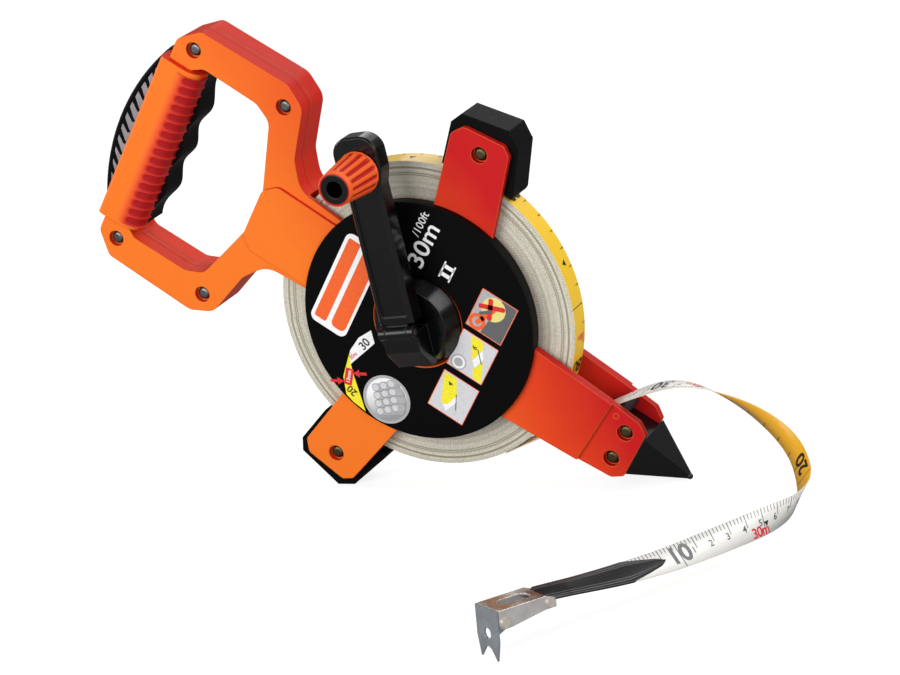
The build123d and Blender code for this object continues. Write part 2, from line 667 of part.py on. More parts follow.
# The hook's own axes: x from the rear pin to the front, y to its near side, z up
HOOK_PIN = FOOTPRINT + Vector(124.5, -177.5, 17.9)
HOOK_FORWARD = Vector(-0.50, -0.86, 0.10).normalized()
HOOK_SIDE = Vector(0, 0, 1).cross(HOOK_FORWARD).normalized()
HOOK_UP = HOOK_FORWARD.cross(HOOK_SIDE)
HOOK = Plane(origin=HOOK_PIN, x_dir=HOOK_FORWARD, z_dir=HOOK_UP)
HOOK_SIDEWAYS = Plane(origin=HOOK_PIN, x_dir=HOOK_FORWARD, z_dir=-HOOK_SIDE)
STRIP_WIDTH = 12.6
STRIP_THICKNESS = 1.2
LOOP_RADIUS = 2.4
REAR_PIN_RADIUS = 1.3
FRONT_PIN = (25.5, -2.6)
FRONT_PIN_RADIUS = 1.3
RIVET_RADIUS = 2.4
RIVET_HEIGHT = 1.0
EAR_NOSE = 3.0  # rounded so that the claw swings clear of the bracket
BRACKET_HALF = 8.5
SHEET = 1.0
BRACKET_TOP = 3.6


def across_hook(radius, centre, half, mode=Mode.ADD):
    """A cylinder across the hook, about a point given along it and up."""
    with BuildSketch(HOOK_SIDEWAYS) as ring:
        with Locations(centre):
            Circle(radius)
    extrude(ring.sketch, amount=half, both=True, mode=mode)


with BuildPart() as end_strip:
    strip_along = HOOK_PIN - route[-1]
    strip_up = strip_along.cross(HOOK_SIDE * 0.6 + Vector(0.1, -0.3, -0.4)).normalized()
    strip_normal = strip_up * (-1 if strip_up.Z < 0 else 1)
    strip_plane = Plane(origin=route[-1], x_dir=strip_along, z_dir=strip_normal)
    strip_length = strip_along.length - LOOP_RADIUS / 2
    with BuildSketch(strip_plane.offset(-STRIP_THICKNESS / 2)):
        with Locations((strip_length / 2, 0)):
            Rectangle(strip_length, STRIP_WIDTH)
    extrude(amount=STRIP_THICKNESS)
    across_hook(LOOP_RADIUS, (0, 0), STRIP_WIDTH / 2)
    across_hook(REAR_PIN_RADIUS + RUNNING_GAP, (0, 0), STRIP_WIDTH, Mode.SUBTRACT)
end_strip.part.label = "end_strip"
export_step(end_strip.part, "parts/end_strip.step")

with BuildPart() as hook_rear_pin:
    across_hook(REAR_PIN_RADIUS, (0, 0), BRACKET_HALF)
    for side in (1, -1):
        with BuildSketch(HOOK_SIDEWAYS.offset(side * BRACKET_HALF)) as head:
            Circle(RIVET_RADIUS)
        extrude(head.sketch, amount=side * RIVET_HEIGHT)
hook_rear_pin.part.label = "hook_rear_pin"
export_step(hook_rear_pin.part, "parts/hook_rear_pin.step")

with BuildPart() as hook_bracket:
    with BuildSketch(HOOK.offset(BRACKET_TOP - SHEET)):
        with Locations((15.5, 0)):
            Rectangle(26, 2 * BRACKET_HALF)
        with Locations((14.5, 0)):
            SlotOverall(17, 7.4, mode=Mode.SUBTRACT)
    extrude(amount=SHEET)
    for side in (1, -1):
        with BuildSketch(HOOK_SIDEWAYS.offset(side * (BRACKET_HALF - SHEET))):
            with BuildLine():
                ear = [(FRONT_PIN[0], FRONT_PIN[1] - EAR_NOSE), (22, -5.6), (3, -2.8), (-3, -2.8)]
                ear += [(-3, 1.5), (2.5, BRACKET_TOP), (28.5, BRACKET_TOP)]
                ear += [(FRONT_PIN[0] + EAR_NOSE, FRONT_PIN[1])]
                Polyline(*ear)
                RadiusArc(ear[-1], ear[0], EAR_NOSE)
            make_face()
            with Locations((0, 0)):
                Circle(REAR_PIN_RADIUS, mode=Mode.SUBTRACT)
            with Locations(FRONT_PIN):
                Circle(FRONT_PIN_RADIUS, mode=Mode.SUBTRACT)
        extrude(amount=side * SHEET)
hook_bracket.part.label = "hook_bracket"
export_step(hook_bracket.part, "parts/hook_bracket.step")

with BuildPart() as hook_front_pin:
    across_hook(FRONT_PIN_RADIUS, FRONT_PIN, BRACKET_HALF)
    for side in (1, -1):
        with BuildSketch(HOOK_SIDEWAYS.offset(side * BRACKET_HALF)) as head:
            with Locations(FRONT_PIN):
                Circle(RIVET_RADIUS)
        extrude(head.sketch, amount=side * RIVET_HEIGHT)
hook_front_pin.part.label = "hook_front_pin"
export_step(hook_front_pin.part, "parts/hook_front_pin.step")

CLAW_X = 28.8
CLAW_HALF = 8.3
CLAW_FOOT = -20.6
EAR_OUTER = 7.3
with BuildPart() as hook_claw:
    claw_face = Plane(origin=HOOK.from_local_coords((CLAW_X, 0, 0)), x_dir=HOOK_SIDE, z_dir=HOOK_FORWARD)
    with BuildSketch(claw_face):
        with BuildLine():
            half = [(0, BRACKET_TOP), (CLAW_HALF, BRACKET_TOP), (CLAW_HALF, -11), (6.2, CLAW_FOOT)]
            half += [(2.4, CLAW_FOOT + 5), (0, CLAW_FOOT + 6)]
            Polyline(*half, *[(-y, z) for y, z in half[-2:0:-1]], close=True)
        make_face()
        with Locations((0, -8.5)):
            Circle(2.6, mode=Mode.SUBTRACT)
    extrude(amount=SHEET)
    for side in (1, -1):
        with BuildSketch(HOOK_SIDEWAYS.offset(side * (EAR_OUTER - SHEET))):
            with BuildLine():
                Polyline((CLAW_X, 1), (22.8, 1), (22.8, -5.4), (CLAW_X, -8), close=True)
            make_face()
            with Locations(FRONT_PIN):
                Circle(FRONT_PIN_RADIUS + RUNNING_GAP, mode=Mode.SUBTRACT)
        extrude(amount=side * SHEET)
hook_claw.part.label = "hook_claw"
export_step(hook_claw.part, "parts/hook_claw.step")
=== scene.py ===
import bpy
import math
import random
from mathutils import Matrix, Vector


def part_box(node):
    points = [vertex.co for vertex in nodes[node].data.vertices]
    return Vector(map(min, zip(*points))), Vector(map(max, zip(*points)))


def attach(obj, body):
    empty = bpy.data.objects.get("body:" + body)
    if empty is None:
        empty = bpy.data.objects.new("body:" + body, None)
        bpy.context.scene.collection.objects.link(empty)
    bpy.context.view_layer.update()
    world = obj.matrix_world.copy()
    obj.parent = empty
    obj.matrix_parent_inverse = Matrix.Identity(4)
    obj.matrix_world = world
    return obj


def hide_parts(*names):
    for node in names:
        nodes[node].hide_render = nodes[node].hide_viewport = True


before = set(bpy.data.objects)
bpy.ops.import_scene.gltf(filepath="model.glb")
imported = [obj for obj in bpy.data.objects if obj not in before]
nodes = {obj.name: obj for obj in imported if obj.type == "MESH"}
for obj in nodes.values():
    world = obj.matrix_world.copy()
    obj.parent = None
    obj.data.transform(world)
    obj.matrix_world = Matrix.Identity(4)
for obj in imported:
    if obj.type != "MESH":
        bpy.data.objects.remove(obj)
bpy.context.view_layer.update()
random.seed(11)

# Axes: u along the main axis, v across it, depth towards the crank, all from the hub, in mm
MM = 0.001
low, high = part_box("tape_roll")
HUB = (low + high) / 2
LEAN = math.radians(35.6)
ALONG = Vector((math.cos(LEAN), 0, -math.sin(LEAN)))
ACROSS = Vector((math.sin(LEAN), 0, math.cos(LEAN)))
FRONT = Vector((0, -1, 0))
CRANK = math.radians(129)
FLOOR = Vector((HUB.x, HUB.y, 0))


def reel(u, v, depth):
    return HUB + (ALONG * u + ACROSS * v + FRONT * depth) * MM


def crank(s, t, depth):
    c, n = math.cos(CRANK), math.sin(CRANK)
    return reel(s * c - t * n, s * n + t * c, depth)


def place(x, y, z):
    return FLOOR + Vector((x, y, z)) * MM


def srgb(r, g, b):
    def one(c):
        c /= 255
        return c / 12.92 if c <= 0.04045 else ((c + 0.055) / 1.055) ** 2.4
    return (one(r), one(g), one(b), 1)


# --- camera ------------------------------------------------------------------------------
camera_data = bpy.data.cameras.new("camera")
camera_data.lens = 121.92
camera_data.sensor_width = 36
camera_data.clip_end = 60
camera = bpy.data.objects.new("camera", camera_data)
bpy.context.scene.collection.objects.link(camera)
right = Vector((0.8919, 0.4177, -0.1736)).normalized()
back = Vector((0.4521, -0.8360, 0.3110)).normalized()
up = back.cross(right).normalized()
spot = HUB + Vector((711.9, -1302.361, 469.35)) * MM
camera.matrix_world = Matrix((right, up, back)).transposed().to_4x4()
camera.location = spot
bpy.context.scene.camera = camera


# --- materials ---------------------------------------------------------------------------
class Nodes:
    """A new material and short ways to add and join its nodes."""

    def __init__(self, name):
        self.material = bpy.data.materials.new(name)
        self.material.use_nodes = True
        self.tree = self.material.node_tree
        self.shader = self.tree.nodes["Principled BSDF"]
        self.coords = self.tree.nodes.new("ShaderNodeTexCoord")

    def link(self, source, target):
        self.tree.links.new(source, target)

    def set(self, socket, value):
        if isinstance(value, bpy.types.NodeSocket):
            self.link(value, socket)
        else:
            socket.default_value = value

    def local(self, origin):
        """The shaded point measured from a point of the frame, in metres."""
        return self.vector("SUBTRACT", self.coords.outputs["Object"], tuple(origin))

    def parts(self, vector):
        split = self.tree.nodes.new("ShaderNodeSeparateXYZ")
        self.link(vector, split.inputs[0])
        return split.outputs

    def face_normal(self):
        return self.tree.nodes.new("ShaderNodeNewGeometry").outputs["True Normal"]

    def math(self, op, a, b=0.0):
        node = self.tree.nodes.new("ShaderNodeMath")
        node.operation = op
        self.set(node.inputs[0], a)
        self.set(node.inputs[1], b)
        return node.outputs[0]

    def vector(self, op, a, b=None, out=0):
        node = self.tree.nodes.new("ShaderNodeVectorMath")
        node.operation = op
        self.set(node.inputs[0], a)
        if b is not None:
            self.set(node.inputs[1], b)
        return node.outputs[out]

    def noise(self, scale, vector=None, detail=3.0, rough=0.5):
        node = self.tree.nodes.new("ShaderNodeTexNoise")
        node.inputs["Scale"].default_value = scale
        node.inputs["Detail"].default_value = detail
        node.inputs["Roughness"].default_value = rough
        where = self.coords.outputs["Object"] if vector is None else vector
        self.link(where, node.inputs["Vector"])
        return node.outputs["Fac"]

    def mix(self, factor, a, b):
        node = self.tree.nodes.new("ShaderNodeMix")
        node.data_type = "RGBA"
        self.set(node.inputs[0], factor)
        self.set(node.inputs[6], a)
        self.set(node.inputs[7], b)
        return node.outputs[2]

    def span(self, value, a, b, c=0.0, d=1.0):
        node = self.tree.nodes.new("ShaderNodeMapRange")
        for index, number in enumerate((value, a, b, c, d)):
            self.set(node.inputs[index], number)
        return node.outputs[0]

    def relief(self, height, size_mm, bevel_mm=0.0, strength=1.0):
        bump = self.tree.nodes.new("ShaderNodeBump")
        bump.inputs["Distance"].default_value = size_mm * MM
        bump.inputs["Strength"].default_value = strength
        self.set(bump.inputs["Height"], height)
        if bevel_mm:
            bevel = self.tree.nodes.new("ShaderNodeBevel")
            bevel.samples = 6
            bevel.inputs["Radius"].default_value = bevel_mm * MM
            self.link(bevel.outputs[0], bump.inputs["Normal"])
        self.link(bump.outputs[0], self.shader.inputs["Normal"])

    def edges(self, width_mm, low=0.98, high=0.8):
        """1 along the corners of the mesh and 0 on its flats."""
        bevel = self.tree.nodes.new("ShaderNodeBevel")
        bevel.samples = 6
        bevel.inputs["Radius"].default_value = width_mm * MM
        same = self.vector("DOT_PRODUCT", bevel.outputs[0], self.face_normal(), out=1)
        return self.span(same, low, high)

    def finish(self, colour, rough, **sockets):
        self.set(self.shader.inputs["Base Color"], colour)
        self.set(self.shader.inputs["Roughness"], rough)
        for name, value in sockets.items():
            self.shader.inputs[name.replace("_", " ")].default_value = value
        return self.material


def moulded(name, colour, other, rough, bevel=0.6, grain=0.02, scale=900, edge=None, **sockets):
    """Moulded plastic or rubber: a fine grained skin, slow colour changes and a few scuffs, and painted
    highlights in the edge colour along its corners where one is given.
    """
    n = Nodes(name)
    cloud = n.span(n.noise(28), 0.35, 0.65)
    fine = n.noise(scale, detail=4)
    scuff = n.span(n.noise(260, detail=6, rough=0.7), 0.6, 0.75)
    tone = n.mix(n.math("MULTIPLY", cloud, 0.8), colour, other)
    if edge:
        # Painted highlight: the corners take the edge colour
        tone = n.mix(n.math("MULTIPLY", n.edges(bevel), 0.8), tone, edge)
    shine = n.span(fine, 0.3, 0.7, rough - 0.05, rough + 0.05)
    shine = n.math("ADD", shine, n.math("MULTIPLY", scuff, 0.08))
    n.relief(n.math("ADD", fine, n.math("MULTIPLY", scuff, -0.4)), grain, bevel)
    return n.finish(tone, shine, **sockets)


def darker(colour, factor):
    return tuple(c * factor for c in colour[:3]) + (1,)


def metal(name, colour, rough, bevel=0.35, streak=0.12, solid=1.0, edge=None, top=None):
    """Plated or bare metal with faint rubbing marks. A lower solid makes it paler in soft light.

    The edge colour is painted on its corners: a painted highlight when it is light, painted shade when it
    is dark. The top colour is a painted reflection of the reel on the faces that look up.
    """
    n = Nodes(name)
    stretched = n.vector("MULTIPLY", n.coords.outputs["Object"], (300, 2200, 900))
    marks = n.noise(1, stretched, detail=5, rough=0.6)
    cloud = n.noise(120)
    tone = n.mix(n.span(cloud, 0.35, 0.7), colour, darker(colour, 0.8))
    # Painted reflection of the reel on the faces that look up
    if top:
        flat = n.face_normal()
        up = n.vector("DOT_PRODUCT", flat, (0, 0, 1), out=1)
        painted_reflection = n.math("MULTIPLY", n.span(up, 0.5, 0.8), n.span(n.noise(70, detail=1), 0.38, 0.6))
        tone = n.mix(n.math("MULTIPLY", painted_reflection, 0.85), tone, top)
    # The corners take the edge colour: a painted highlight on the hook, painted shade on the rivets
    if edge:
        tone = n.mix(n.edges(0.2), tone, edge)
    n.relief(marks, 0.012, bevel, streak)
    return n.finish(tone, n.span(marks, 0.3, 0.7, rough, rough + 0.12), Metallic=solid)


def orange_plastic():
    """The frame's moulded plastic: orange at the handle and red towards the arms as painted shade, redder
    on its sides as painted shade, with painted highlights along its corners.
    """
    n = Nodes("orange_plastic")
    local = n.local(HUB)
    # Painted shade: the faces turn from orange at the handle to red towards the arms and the top
    along = n.vector("DOT_PRODUCT", local, tuple(ALONG * 0.5 + ACROSS * 0.86), out=1)
    cloud = n.noise(24, detail=2)
    shift = n.math("ADD", n.math("MULTIPLY", along, 1000), n.math("MULTIPLY", cloud, 24))
    face = n.mix(n.span(shift, -30, 48), srgb(243, 120, 38), srgb(222, 66, 28))
    face = n.mix(n.span(shift, 48, 80), face, srgb(194, 26, 28))
    # Painted shade: a darker red for the faces that turn away from the front
    side = n.mix(n.span(shift, -60, 60), srgb(226, 56, 24), srgb(186, 22, 24))
    # Darker lines on the sides, where the two half shells meet and step
    split = n.parts(local)
    depth = n.math("MULTIPLY", split[1], -1000)
    for middle, half in ((0.0, 0.45), (3.6, 0.25)):
        near = n.math("LESS_THAN", n.math("ABSOLUTE", n.math("SUBTRACT", depth, middle)), half)
        side = n.mix(n.math("MULTIPLY", near, 0.75), side, srgb(120, 16, 18))
    flat = n.face_normal()
    front = n.math("ABSOLUTE", n.vector("DOT_PRODUCT", flat, tuple(FRONT), out=1))
    # Faces that turn away from the front take the side tone, which is painted shade
    tone = n.mix(n.span(front, 0.35, 0.75), side, face)
    # Painted highlight: a lighter orange along the corners
    tone = n.mix(n.math("MULTIPLY", n.edges(1.1), 0.55), tone, srgb(250, 128, 48))
    fine = n.noise(1100, detail=4)
    scuff = n.span(n.noise(260, detail=6, rough=0.7), 0.62, 0.76)
    n.relief(n.math("ADD", fine, n.math("MULTIPLY", scuff, -0.4)), 0.016, 0.9)
    shine = n.math("ADD", n.span(fine, 0.3, 0.7, 0.4, 0.5), n.math("MULTIPLY", scuff, 0.08))
    return n.finish(tone, shine, Specular_IOR_Level=0.12)


ORANGE = orange_plastic()
# The black plastic and the rubber get lighter corners: painted highlights
BLACK = moulded("black_plastic", srgb(6, 6, 8), srgb(3, 3, 4), 0.2, 0.5, 0.002, 1400,
                srgb(58, 61, 66), Specular_IOR_Level=0.4)
RUBBER = moulded("black_rubber", srgb(3, 3, 3), srgb(6, 6, 7), 0.55, 0.9, 0.02, 700,
                 srgb(20, 20, 22), Specular_IOR_Level=0.08)
# A grey strip that stands for the reflection on the black palm swell: painted reflection
PALM_REFLECTION = moulded("palm_painted_reflection", srgb(150, 150, 152), srgb(132, 132, 134), 0.6, 0.2, 0.04, 800)
WHITE_PLASTIC = moulded("white_acetal", srgb(236, 234, 228), srgb(226, 224, 216), 0.35, 0.4)
DRUM = moulded("drum_plastic", srgb(28, 28, 30), srgb(22, 22, 24), 0.4, 0.5)
STEEL = metal("screw_steel", srgb(112, 112, 112), 0.3)
BRASS = metal("dark_brass", srgb(92, 84, 58), 0.32)
# The hook: a painted reflection of the reel on its upward faces and painted highlights on its corners
CHROME = metal("hook_chrome", srgb(228, 224, 220), 0.14, solid=0.62, edge=srgb(250, 250, 250),
               top=srgb(150, 92, 44))
CLAW = metal("claw_steel", srgb(176, 182, 188), 0.22, 0.15, 0.04, solid=0.7)
# The rivets' rims are darkened: painted shade
RIVET = metal("rivet_brass", srgb(222, 214, 200), 0.3, solid=0.5, edge=srgb(84, 74, 62))


def printed_ink(name, colour, rough=0.4):
    n = Nodes(name)
    wear = n.noise(700, detail=5)
    tone = n.mix(n.span(wear, 0.45, 0.8), colour, darker(colour, 0.85))
    n.relief(wear, 0.004)
    return n.finish(tone, n.span(wear, 0.3, 0.7, rough - 0.06, rough + 0.1))


INK_WHITE = printed_ink("ink_white", srgb(246, 246, 246))
INK_BLACK = printed_ink("ink_black", srgb(20, 20, 20))
INK_GREY = printed_ink("ink_grey", srgb(96, 96, 98))
INK_SILVER = printed_ink("ink_silver", srgb(176, 176, 178))
INK_PALE = printed_ink("ink_pale", srgb(212, 212, 215))
INK_SAND = printed_ink("ink_sand", srgb(232, 222, 130))
INK_ORANGE = printed_ink("ink_orange", srgb(243, 98, 32))
INK_RED = printed_ink("ink_red", srgb(220, 36, 40))
INK_YELLOW = printed_ink("ink_yellow", srgb(246, 232, 40))


TAPE_WIDTH = 13.0


def tape_face(name, colour, other, yellow):
    """A face of the tape: glass fibres under the skin and a printed scale, in UV millimetres."""
    n = Nodes(name)
    split = n.parts(n.coords.outputs["UV"])
    along, across = split[0], split[1]
    stretched = n.vector("MULTIPLY", n.coords.outputs["UV"], (0.15, 3.0, 1))
    fibre = n.noise(1.0, stretched, detail=4, rough=0.6)
    tone = n.mix(n.span(fibre, 0.35, 0.7), colour, other)

    def ticks(step, width, reach):
        phase = n.math("FRACT", n.math("DIVIDE", n.math("ADD", along, width / 2), step))
        near = n.math("LESS_THAN", phase, width / step)
        from_edge = n.math("SUBTRACT", TAPE_WIDTH, across) if yellow else across
        return n.math("MULTIPLY", near, n.math("LESS_THAN", from_edge, reach))

    if yellow:
        marks = n.math("MAXIMUM", ticks(10, 0.55, 3.4), ticks(100, 0.6, TAPE_WIDTH))
        ink = srgb(40, 34, 20)
    else:
        marks = n.math("MAXIMUM", ticks(10, 0.5, 6.2), ticks(50, 0.5, TAPE_WIDTH))
        marks = n.math("MAXIMUM", ticks(2, 0.42, 2.9), marks)
        ink = srgb(70, 68, 66)
    tone = n.mix(n.math("MULTIPLY", marks, 0.92), tone, ink)
    n.relief(fibre, 0.02)
    return n.finish(tone, n.span(fibre, 0.3, 0.7, 0.36, 0.5), Coat_Weight=0.12)


TAPE_WHITE = tape_face("tape_white_face", srgb(238, 237, 233), srgb(228, 226, 220), False)
TAPE_YELLOW = tape_face("tape_yellow_face", srgb(232, 172, 24), srgb(222, 160, 20), True)
TAPE_EDGE = printed_ink("tape_edge", srgb(220, 210, 184), 0.6)


# --- mesh helpers ------------------------------------------------------------------------
def piece(name, points, faces, materials, body, which=None, smooth=False, uv=None):
    """A mesh object that rides on a body. which is each face's material and uv each point's place."""
    mesh = bpy.data.meshes.new(name)
    mesh.from_pydata([tuple(p) for p in points], [], faces)
    for material in materials:
        mesh.materials.append(material)
    for index, face in enumerate(mesh.polygons):
        face.use_smooth = smooth
        if which:
            face.material_index = which[index]
    if uv:
        layer = mesh.uv_layers.new(name="UVMap")
        for loop in mesh.loops:
            layer.data[loop.index].uv = uv[loop.vertex_index]
    mesh.update()
    thing = bpy.data.objects.new(name, mesh)
    bpy.context.scene.collection.objects.link(thing)
    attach(thing, body)
    return thing


def skin(rows, size, wrap=True):
    """The quads between neighbouring rows of a grid of points, closed round each row if wrap."""
    quads = []
    for i in range(rows - 1):
        for j in range(size if wrap else size - 1):
            a, b = i * size + j, i * size + (j + 1) % size
            quads.append((a, b, b + size, a + size))
    return quads


def on_circle(radius, step, count):
    """Point number step of count on a circle."""
    angle = 2 * math.pi * step / count
    return radius * math.cos(angle), radius * math.sin(angle)


def dress(name, material):
    """Gives a CAD node one material."""
    materials = nodes[name].data.materials
    materials.clear()
    materials.append(material)


def letters(text, size, spacing=1.0, weight=0.02):
    """The flat mesh of a word, centred, as (points, faces) in mm."""
    curve = bpy.data.curves.new("letters", "FONT")
    curve.body = text
    curve.offset = weight * size
    curve.size = size
    curve.space_character = spacing
    curve.align_x = "CENTER"
    curve.align_y = "CENTER"
    curve.resolution_u = 4
    thing = bpy.data.objects.new("letters", curve)
    bpy.context.scene.collection.objects.link(thing)
    bpy.context.view_layer.update()
    mesh = bpy.data.meshes.new_from_object(thing)
    points = [(v.co.x, v.co.y) for v in mesh.vertices]
    faces = [tuple(p.vertices) for p in mesh.polygons]
    bpy.data.objects.remove(thing)
    bpy.data.curves.remove(curve)
    bpy.data.meshes.remove(mesh)
    return points, faces


def ring(radius, inner, x=0.0, y=0.0, count=64, squash=1.0):
    """A flat ring, or a disc where inner is 0."""
    angles = [2 * math.pi * i / count for i in range(count)]
    points = [(x + radius * math.cos(a), y + radius * squash * math.sin(a)) for a in angles]
    if inner <= 0:
        return points, [tuple(range(count))]
    points += [(x + inner * math.cos(a), y + inner * squash * math.sin(a)) for a in angles]
    return points, [(i, (i + 1) % count, count + (i + 1) % count, count + i) for i in range(count)]


def rounded(width, height, radius, x=0.0, y=0.0):
    """A flat rectangle with rounded corners."""
    points = []
    for cx, cy, start in ((1, 1, 0), (-1, 1, 90), (-1, -1, 180), (1, -1, 270)):
        for step in range(9):
            a = math.radians(start + step * 11.25)
            points.append((x + cx * (width / 2 - radius) + radius * math.cos(a),
                           y + cy * (height / 2 - radius) + radius * math.sin(a)))
    return points, [tuple(range(len(points)))]


def polygon(*points):
    return list(points), [tuple(range(len(points)))]


def turned(shape, x, y, angle=0.0, stretch=1.0):
    """A flat shape moved to x, y after a turn in degrees."""
    c, s = math.cos(math.radians(angle)), math.sin(math.radians(angle))
    points = [(x + px * stretch * c - py * s, y + px * stretch * s + py * c) for px, py in shape[0]]
    return points, shape[1]


def print_on(name, layers, mapping, body):
    """Flat shapes laid on a surface. layers are (material, lift in mm, shapes)."""
    points, faces, which, materials = [], [], [], []
    for material, lift, shapes in layers:
        if material not in materials:
            materials.append(material)
        for flat, polygons in shapes:
            first = len(points)
            points += [mapping(x, y, lift) for x, y in flat]
            faces += [tuple(first + i for i in f) for f in polygons]
            which += [materials.index(material)] * len(polygons)
    return piece(name, points, faces, materials, body, which)


# --- the free tape -----------------------------------------------------------------------
ROLL_RADIUS = 82.0
SPAN_U, SPAN_V = 0.8425, 0.5388  # the outward direction where the tape leaves the roll, along u and -v
SPAN_OFFSET = ROLL_RADIUS + 0.6
SPAN_LENGTH = 75.6
SPAN_END = reel(SPAN_U * SPAN_OFFSET + SPAN_V * SPAN_LENGTH, SPAN_U * SPAN_LENGTH - SPAN_V * SPAN_OFFSET, 0)
ROUTE = [
    (120.0, -5.5, 52.9), (144.0, -10.5, 55.0), (169.0, -8.5, 42.5), (189.5, -12.0, 26.0),
    (202.0, -31.0, 13.5), (205.0, -55.0, 11.0), (198.0, -78.0, 12.8), (183.0, -104.0, 13.9),
    (168.8, -126.5, 14.8), (159.4, -141.0, 16.4), (147.3, -157.4, 18.3), (135.0, -171.0, 20.2),
]
# Which way the width of the tape points at each point of the route
WIDTH = [
    (0, 1, 0), (0.05, 1, 0.1), (-0.15, 0.95, -0.3), (-0.4, 0.6, -0.6), (-0.6, 0.2, -0.8),
    (-0.7, 0, -0.7), (-0.4, 0.1, -0.9), (0.15, -0.1, -0.95), (0.5, -0.3, -0.8), (0.6, -0.5, -0.6),
    (0.6, -0.55, -0.5), (0.7, -0.6, -0.35), (0.75, -0.6, -0.2),
]
controls = [SPAN_END] + [place(*p) for p in ROUTE]
curve = bpy.data.curves.new("tape_route", "CURVE")
curve.dimensions = "3D"
curve.resolution_u = 24
spline = curve.splines.new("NURBS")
spline.points.add(len(controls) - 1)
for point, position in zip(spline.points, controls):
    point.co = (*position, 1)
spline.order_u = 3
spline.use_endpoint_u = True
route_object = bpy.data.objects.new("tape_route", curve)
bpy.context.scene.collection.objects.link(route_object)
bpy.context.view_layer.update()
route_mesh = bpy.data.meshes.new_from_object(route_object)
path = [v.co.copy() for v in route_mesh.vertices]
bpy.data.objects.remove(route_object)
bpy.data.curves.remove(curve)
bpy.data.meshes.remove(route_mesh)
path = [p for i, p in enumerate(path) if i == 0 or (p - path[i - 1]).length > 1e-6]
if (path[0] - SPAN_END).length > (path[-1] - SPAN_END).length:
    path.reverse()
lengths = [0.0]
for a, b in zip(path, path[1:]):
    lengths.append(lengths[-1] + (b - a).length)
PATH_LENGTH = lengths[-1]
hint_at = [lengths[min(range(len(path)), key=lambda i: (path[i] - c).length)] for c in controls]


def between(values, keys, at):
    """values interpolated at a distance, where keys are their own distances."""
    if at <= keys[0]:
        return Vector(values[0])
    for k0, k1, v0, v1 in zip(keys, keys[1:], values, values[1:]):
        if at <= k1:
            t = (at - k0) / max(1e-9, k1 - k0)
            return Vector(v0).lerp(Vector(v1), t)
    return Vector(values[-1])


def smooth_hint(at):
    total = Vector((0, 0, 0))
    for shift in (-10, -6, -2, 2, 6, 10):
        total += between(WIDTH, hint_at, at + shift * MM).normalized()
    return total.normalized()


def tape_frame(at):
    """The point, heading, width and white-face normal at a distance from the guide, in metres."""
    at = min(max(at, 0.0), PATH_LENGTH)
    point = between(path, lengths, at)
    ahead = between(path, lengths, min(at + 0.0015, PATH_LENGTH))
    behind = between(path, lengths, max(at - 0.0015, 0.0))
    heading = (ahead - behind).normalized()
    wide = smooth_hint(at)
    wide = (wide - heading * wide.dot(heading)).normalized()
    return point, heading, wide, heading.cross(wide)


HOOK_GAP = 39.0  # mm on the scale at the ribbon's own end


def scale_at(along_mm):
    """Distance from the guide of a mark on the scale, which is counted from the hook."""
    return PATH_LENGTH - (along_mm - HOOK_GAP) * MM


HALF = 0.22  # half of the tape's thickness
EDGE = TAPE_WIDTH / 2
STEPS = 300
section = [(-EDGE, HALF), (0, HALF), (EDGE, HALF), (EDGE, -HALF), (0, -HALF), (-EDGE, -HALF)]
points, uvs = [], []
for i in range(STEPS + 1):
    at = PATH_LENGTH * i / STEPS
    point, heading, wide, normal = tape_frame(at)
    for w, lift in section:
        points.append(point + (wide * w + normal * lift) * MM)
        uvs.append(((PATH_LENGTH - at) / MM + HOOK_GAP, w + EDGE))
faces = skin(STEPS + 1, 6) + [tuple(range(5, -1, -1)), tuple(STEPS * 6 + j for j in range(6))]
which = [0, 0, 2, 1, 1, 2] * STEPS + [2, 2]
ribbon = piece("free_tape", points, faces, [TAPE_WHITE, TAPE_YELLOW, TAPE_EDGE], "frame", which, True, uvs)
for face in ribbon.data.polygons:
    face.use_smooth = face.material_index != 2


def on_white(x, y, lift):
    """x is the scale in mm and y mm from the ticked edge, on the white face."""
    point, heading, wide, normal = tape_frame(scale_at(x))
    return point + (wide * (y - EDGE) + normal * (HALF + lift)) * MM


def on_yellow(x, y, lift):
    """The same on the yellow face."""
    point, heading, wide, normal = tape_frame(scale_at(x))
    return point + (wide * (y - EDGE) - normal * (HALF + lift)) * MM


# Numbers stand with their tops towards the ticked edge, the front edge on the white face
white_small, white_ten, white_big, white_red = [], [], [], []
for centimetre in range(8, 34):
    x = centimetre * 10
    if centimetre % 10:
        white_small.append(turned(letters(str(centimetre % 10), 4.6), x - 2.0, 6.6, 180, -1))
    elif centimetre == 10:
        white_ten.append(turned(letters("10", 12.5, 1.05, 0.03), x, 6.4, 180, -1))
    else:
        white_big.append(turned(letters(str(centimetre), 11.5, 1.15, 0.03), x, 8.2, 180, -1))
for x in (147, 281):
    white_red.append(turned(letters("30m", 7.0, 0.9), x, 10.4, 180, -1))
arrow = turned(polygon((-1.6, 0), (1.6, 0), (0, 2.6)), 151.5, 6.6)
yellow_big = []
for centimetre in range(10, 34, 10):
    yellow_big.append(turned(letters(str(centimetre), 11.0, 1.0, 0.03), centimetre * 10 + 8.5, 5.4))
print_on("free_tape_white_print", [
    (INK_GREY, 0.03, white_small + white_ten),
    (INK_BLACK, 0.03, white_big + [arrow]),
    (INK_RED, 0.03, white_red),
], on_white, "frame")
print_on("free_tape_yellow_print", [(INK_BLACK, 0.03, yellow_big)], on_yellow, "frame")


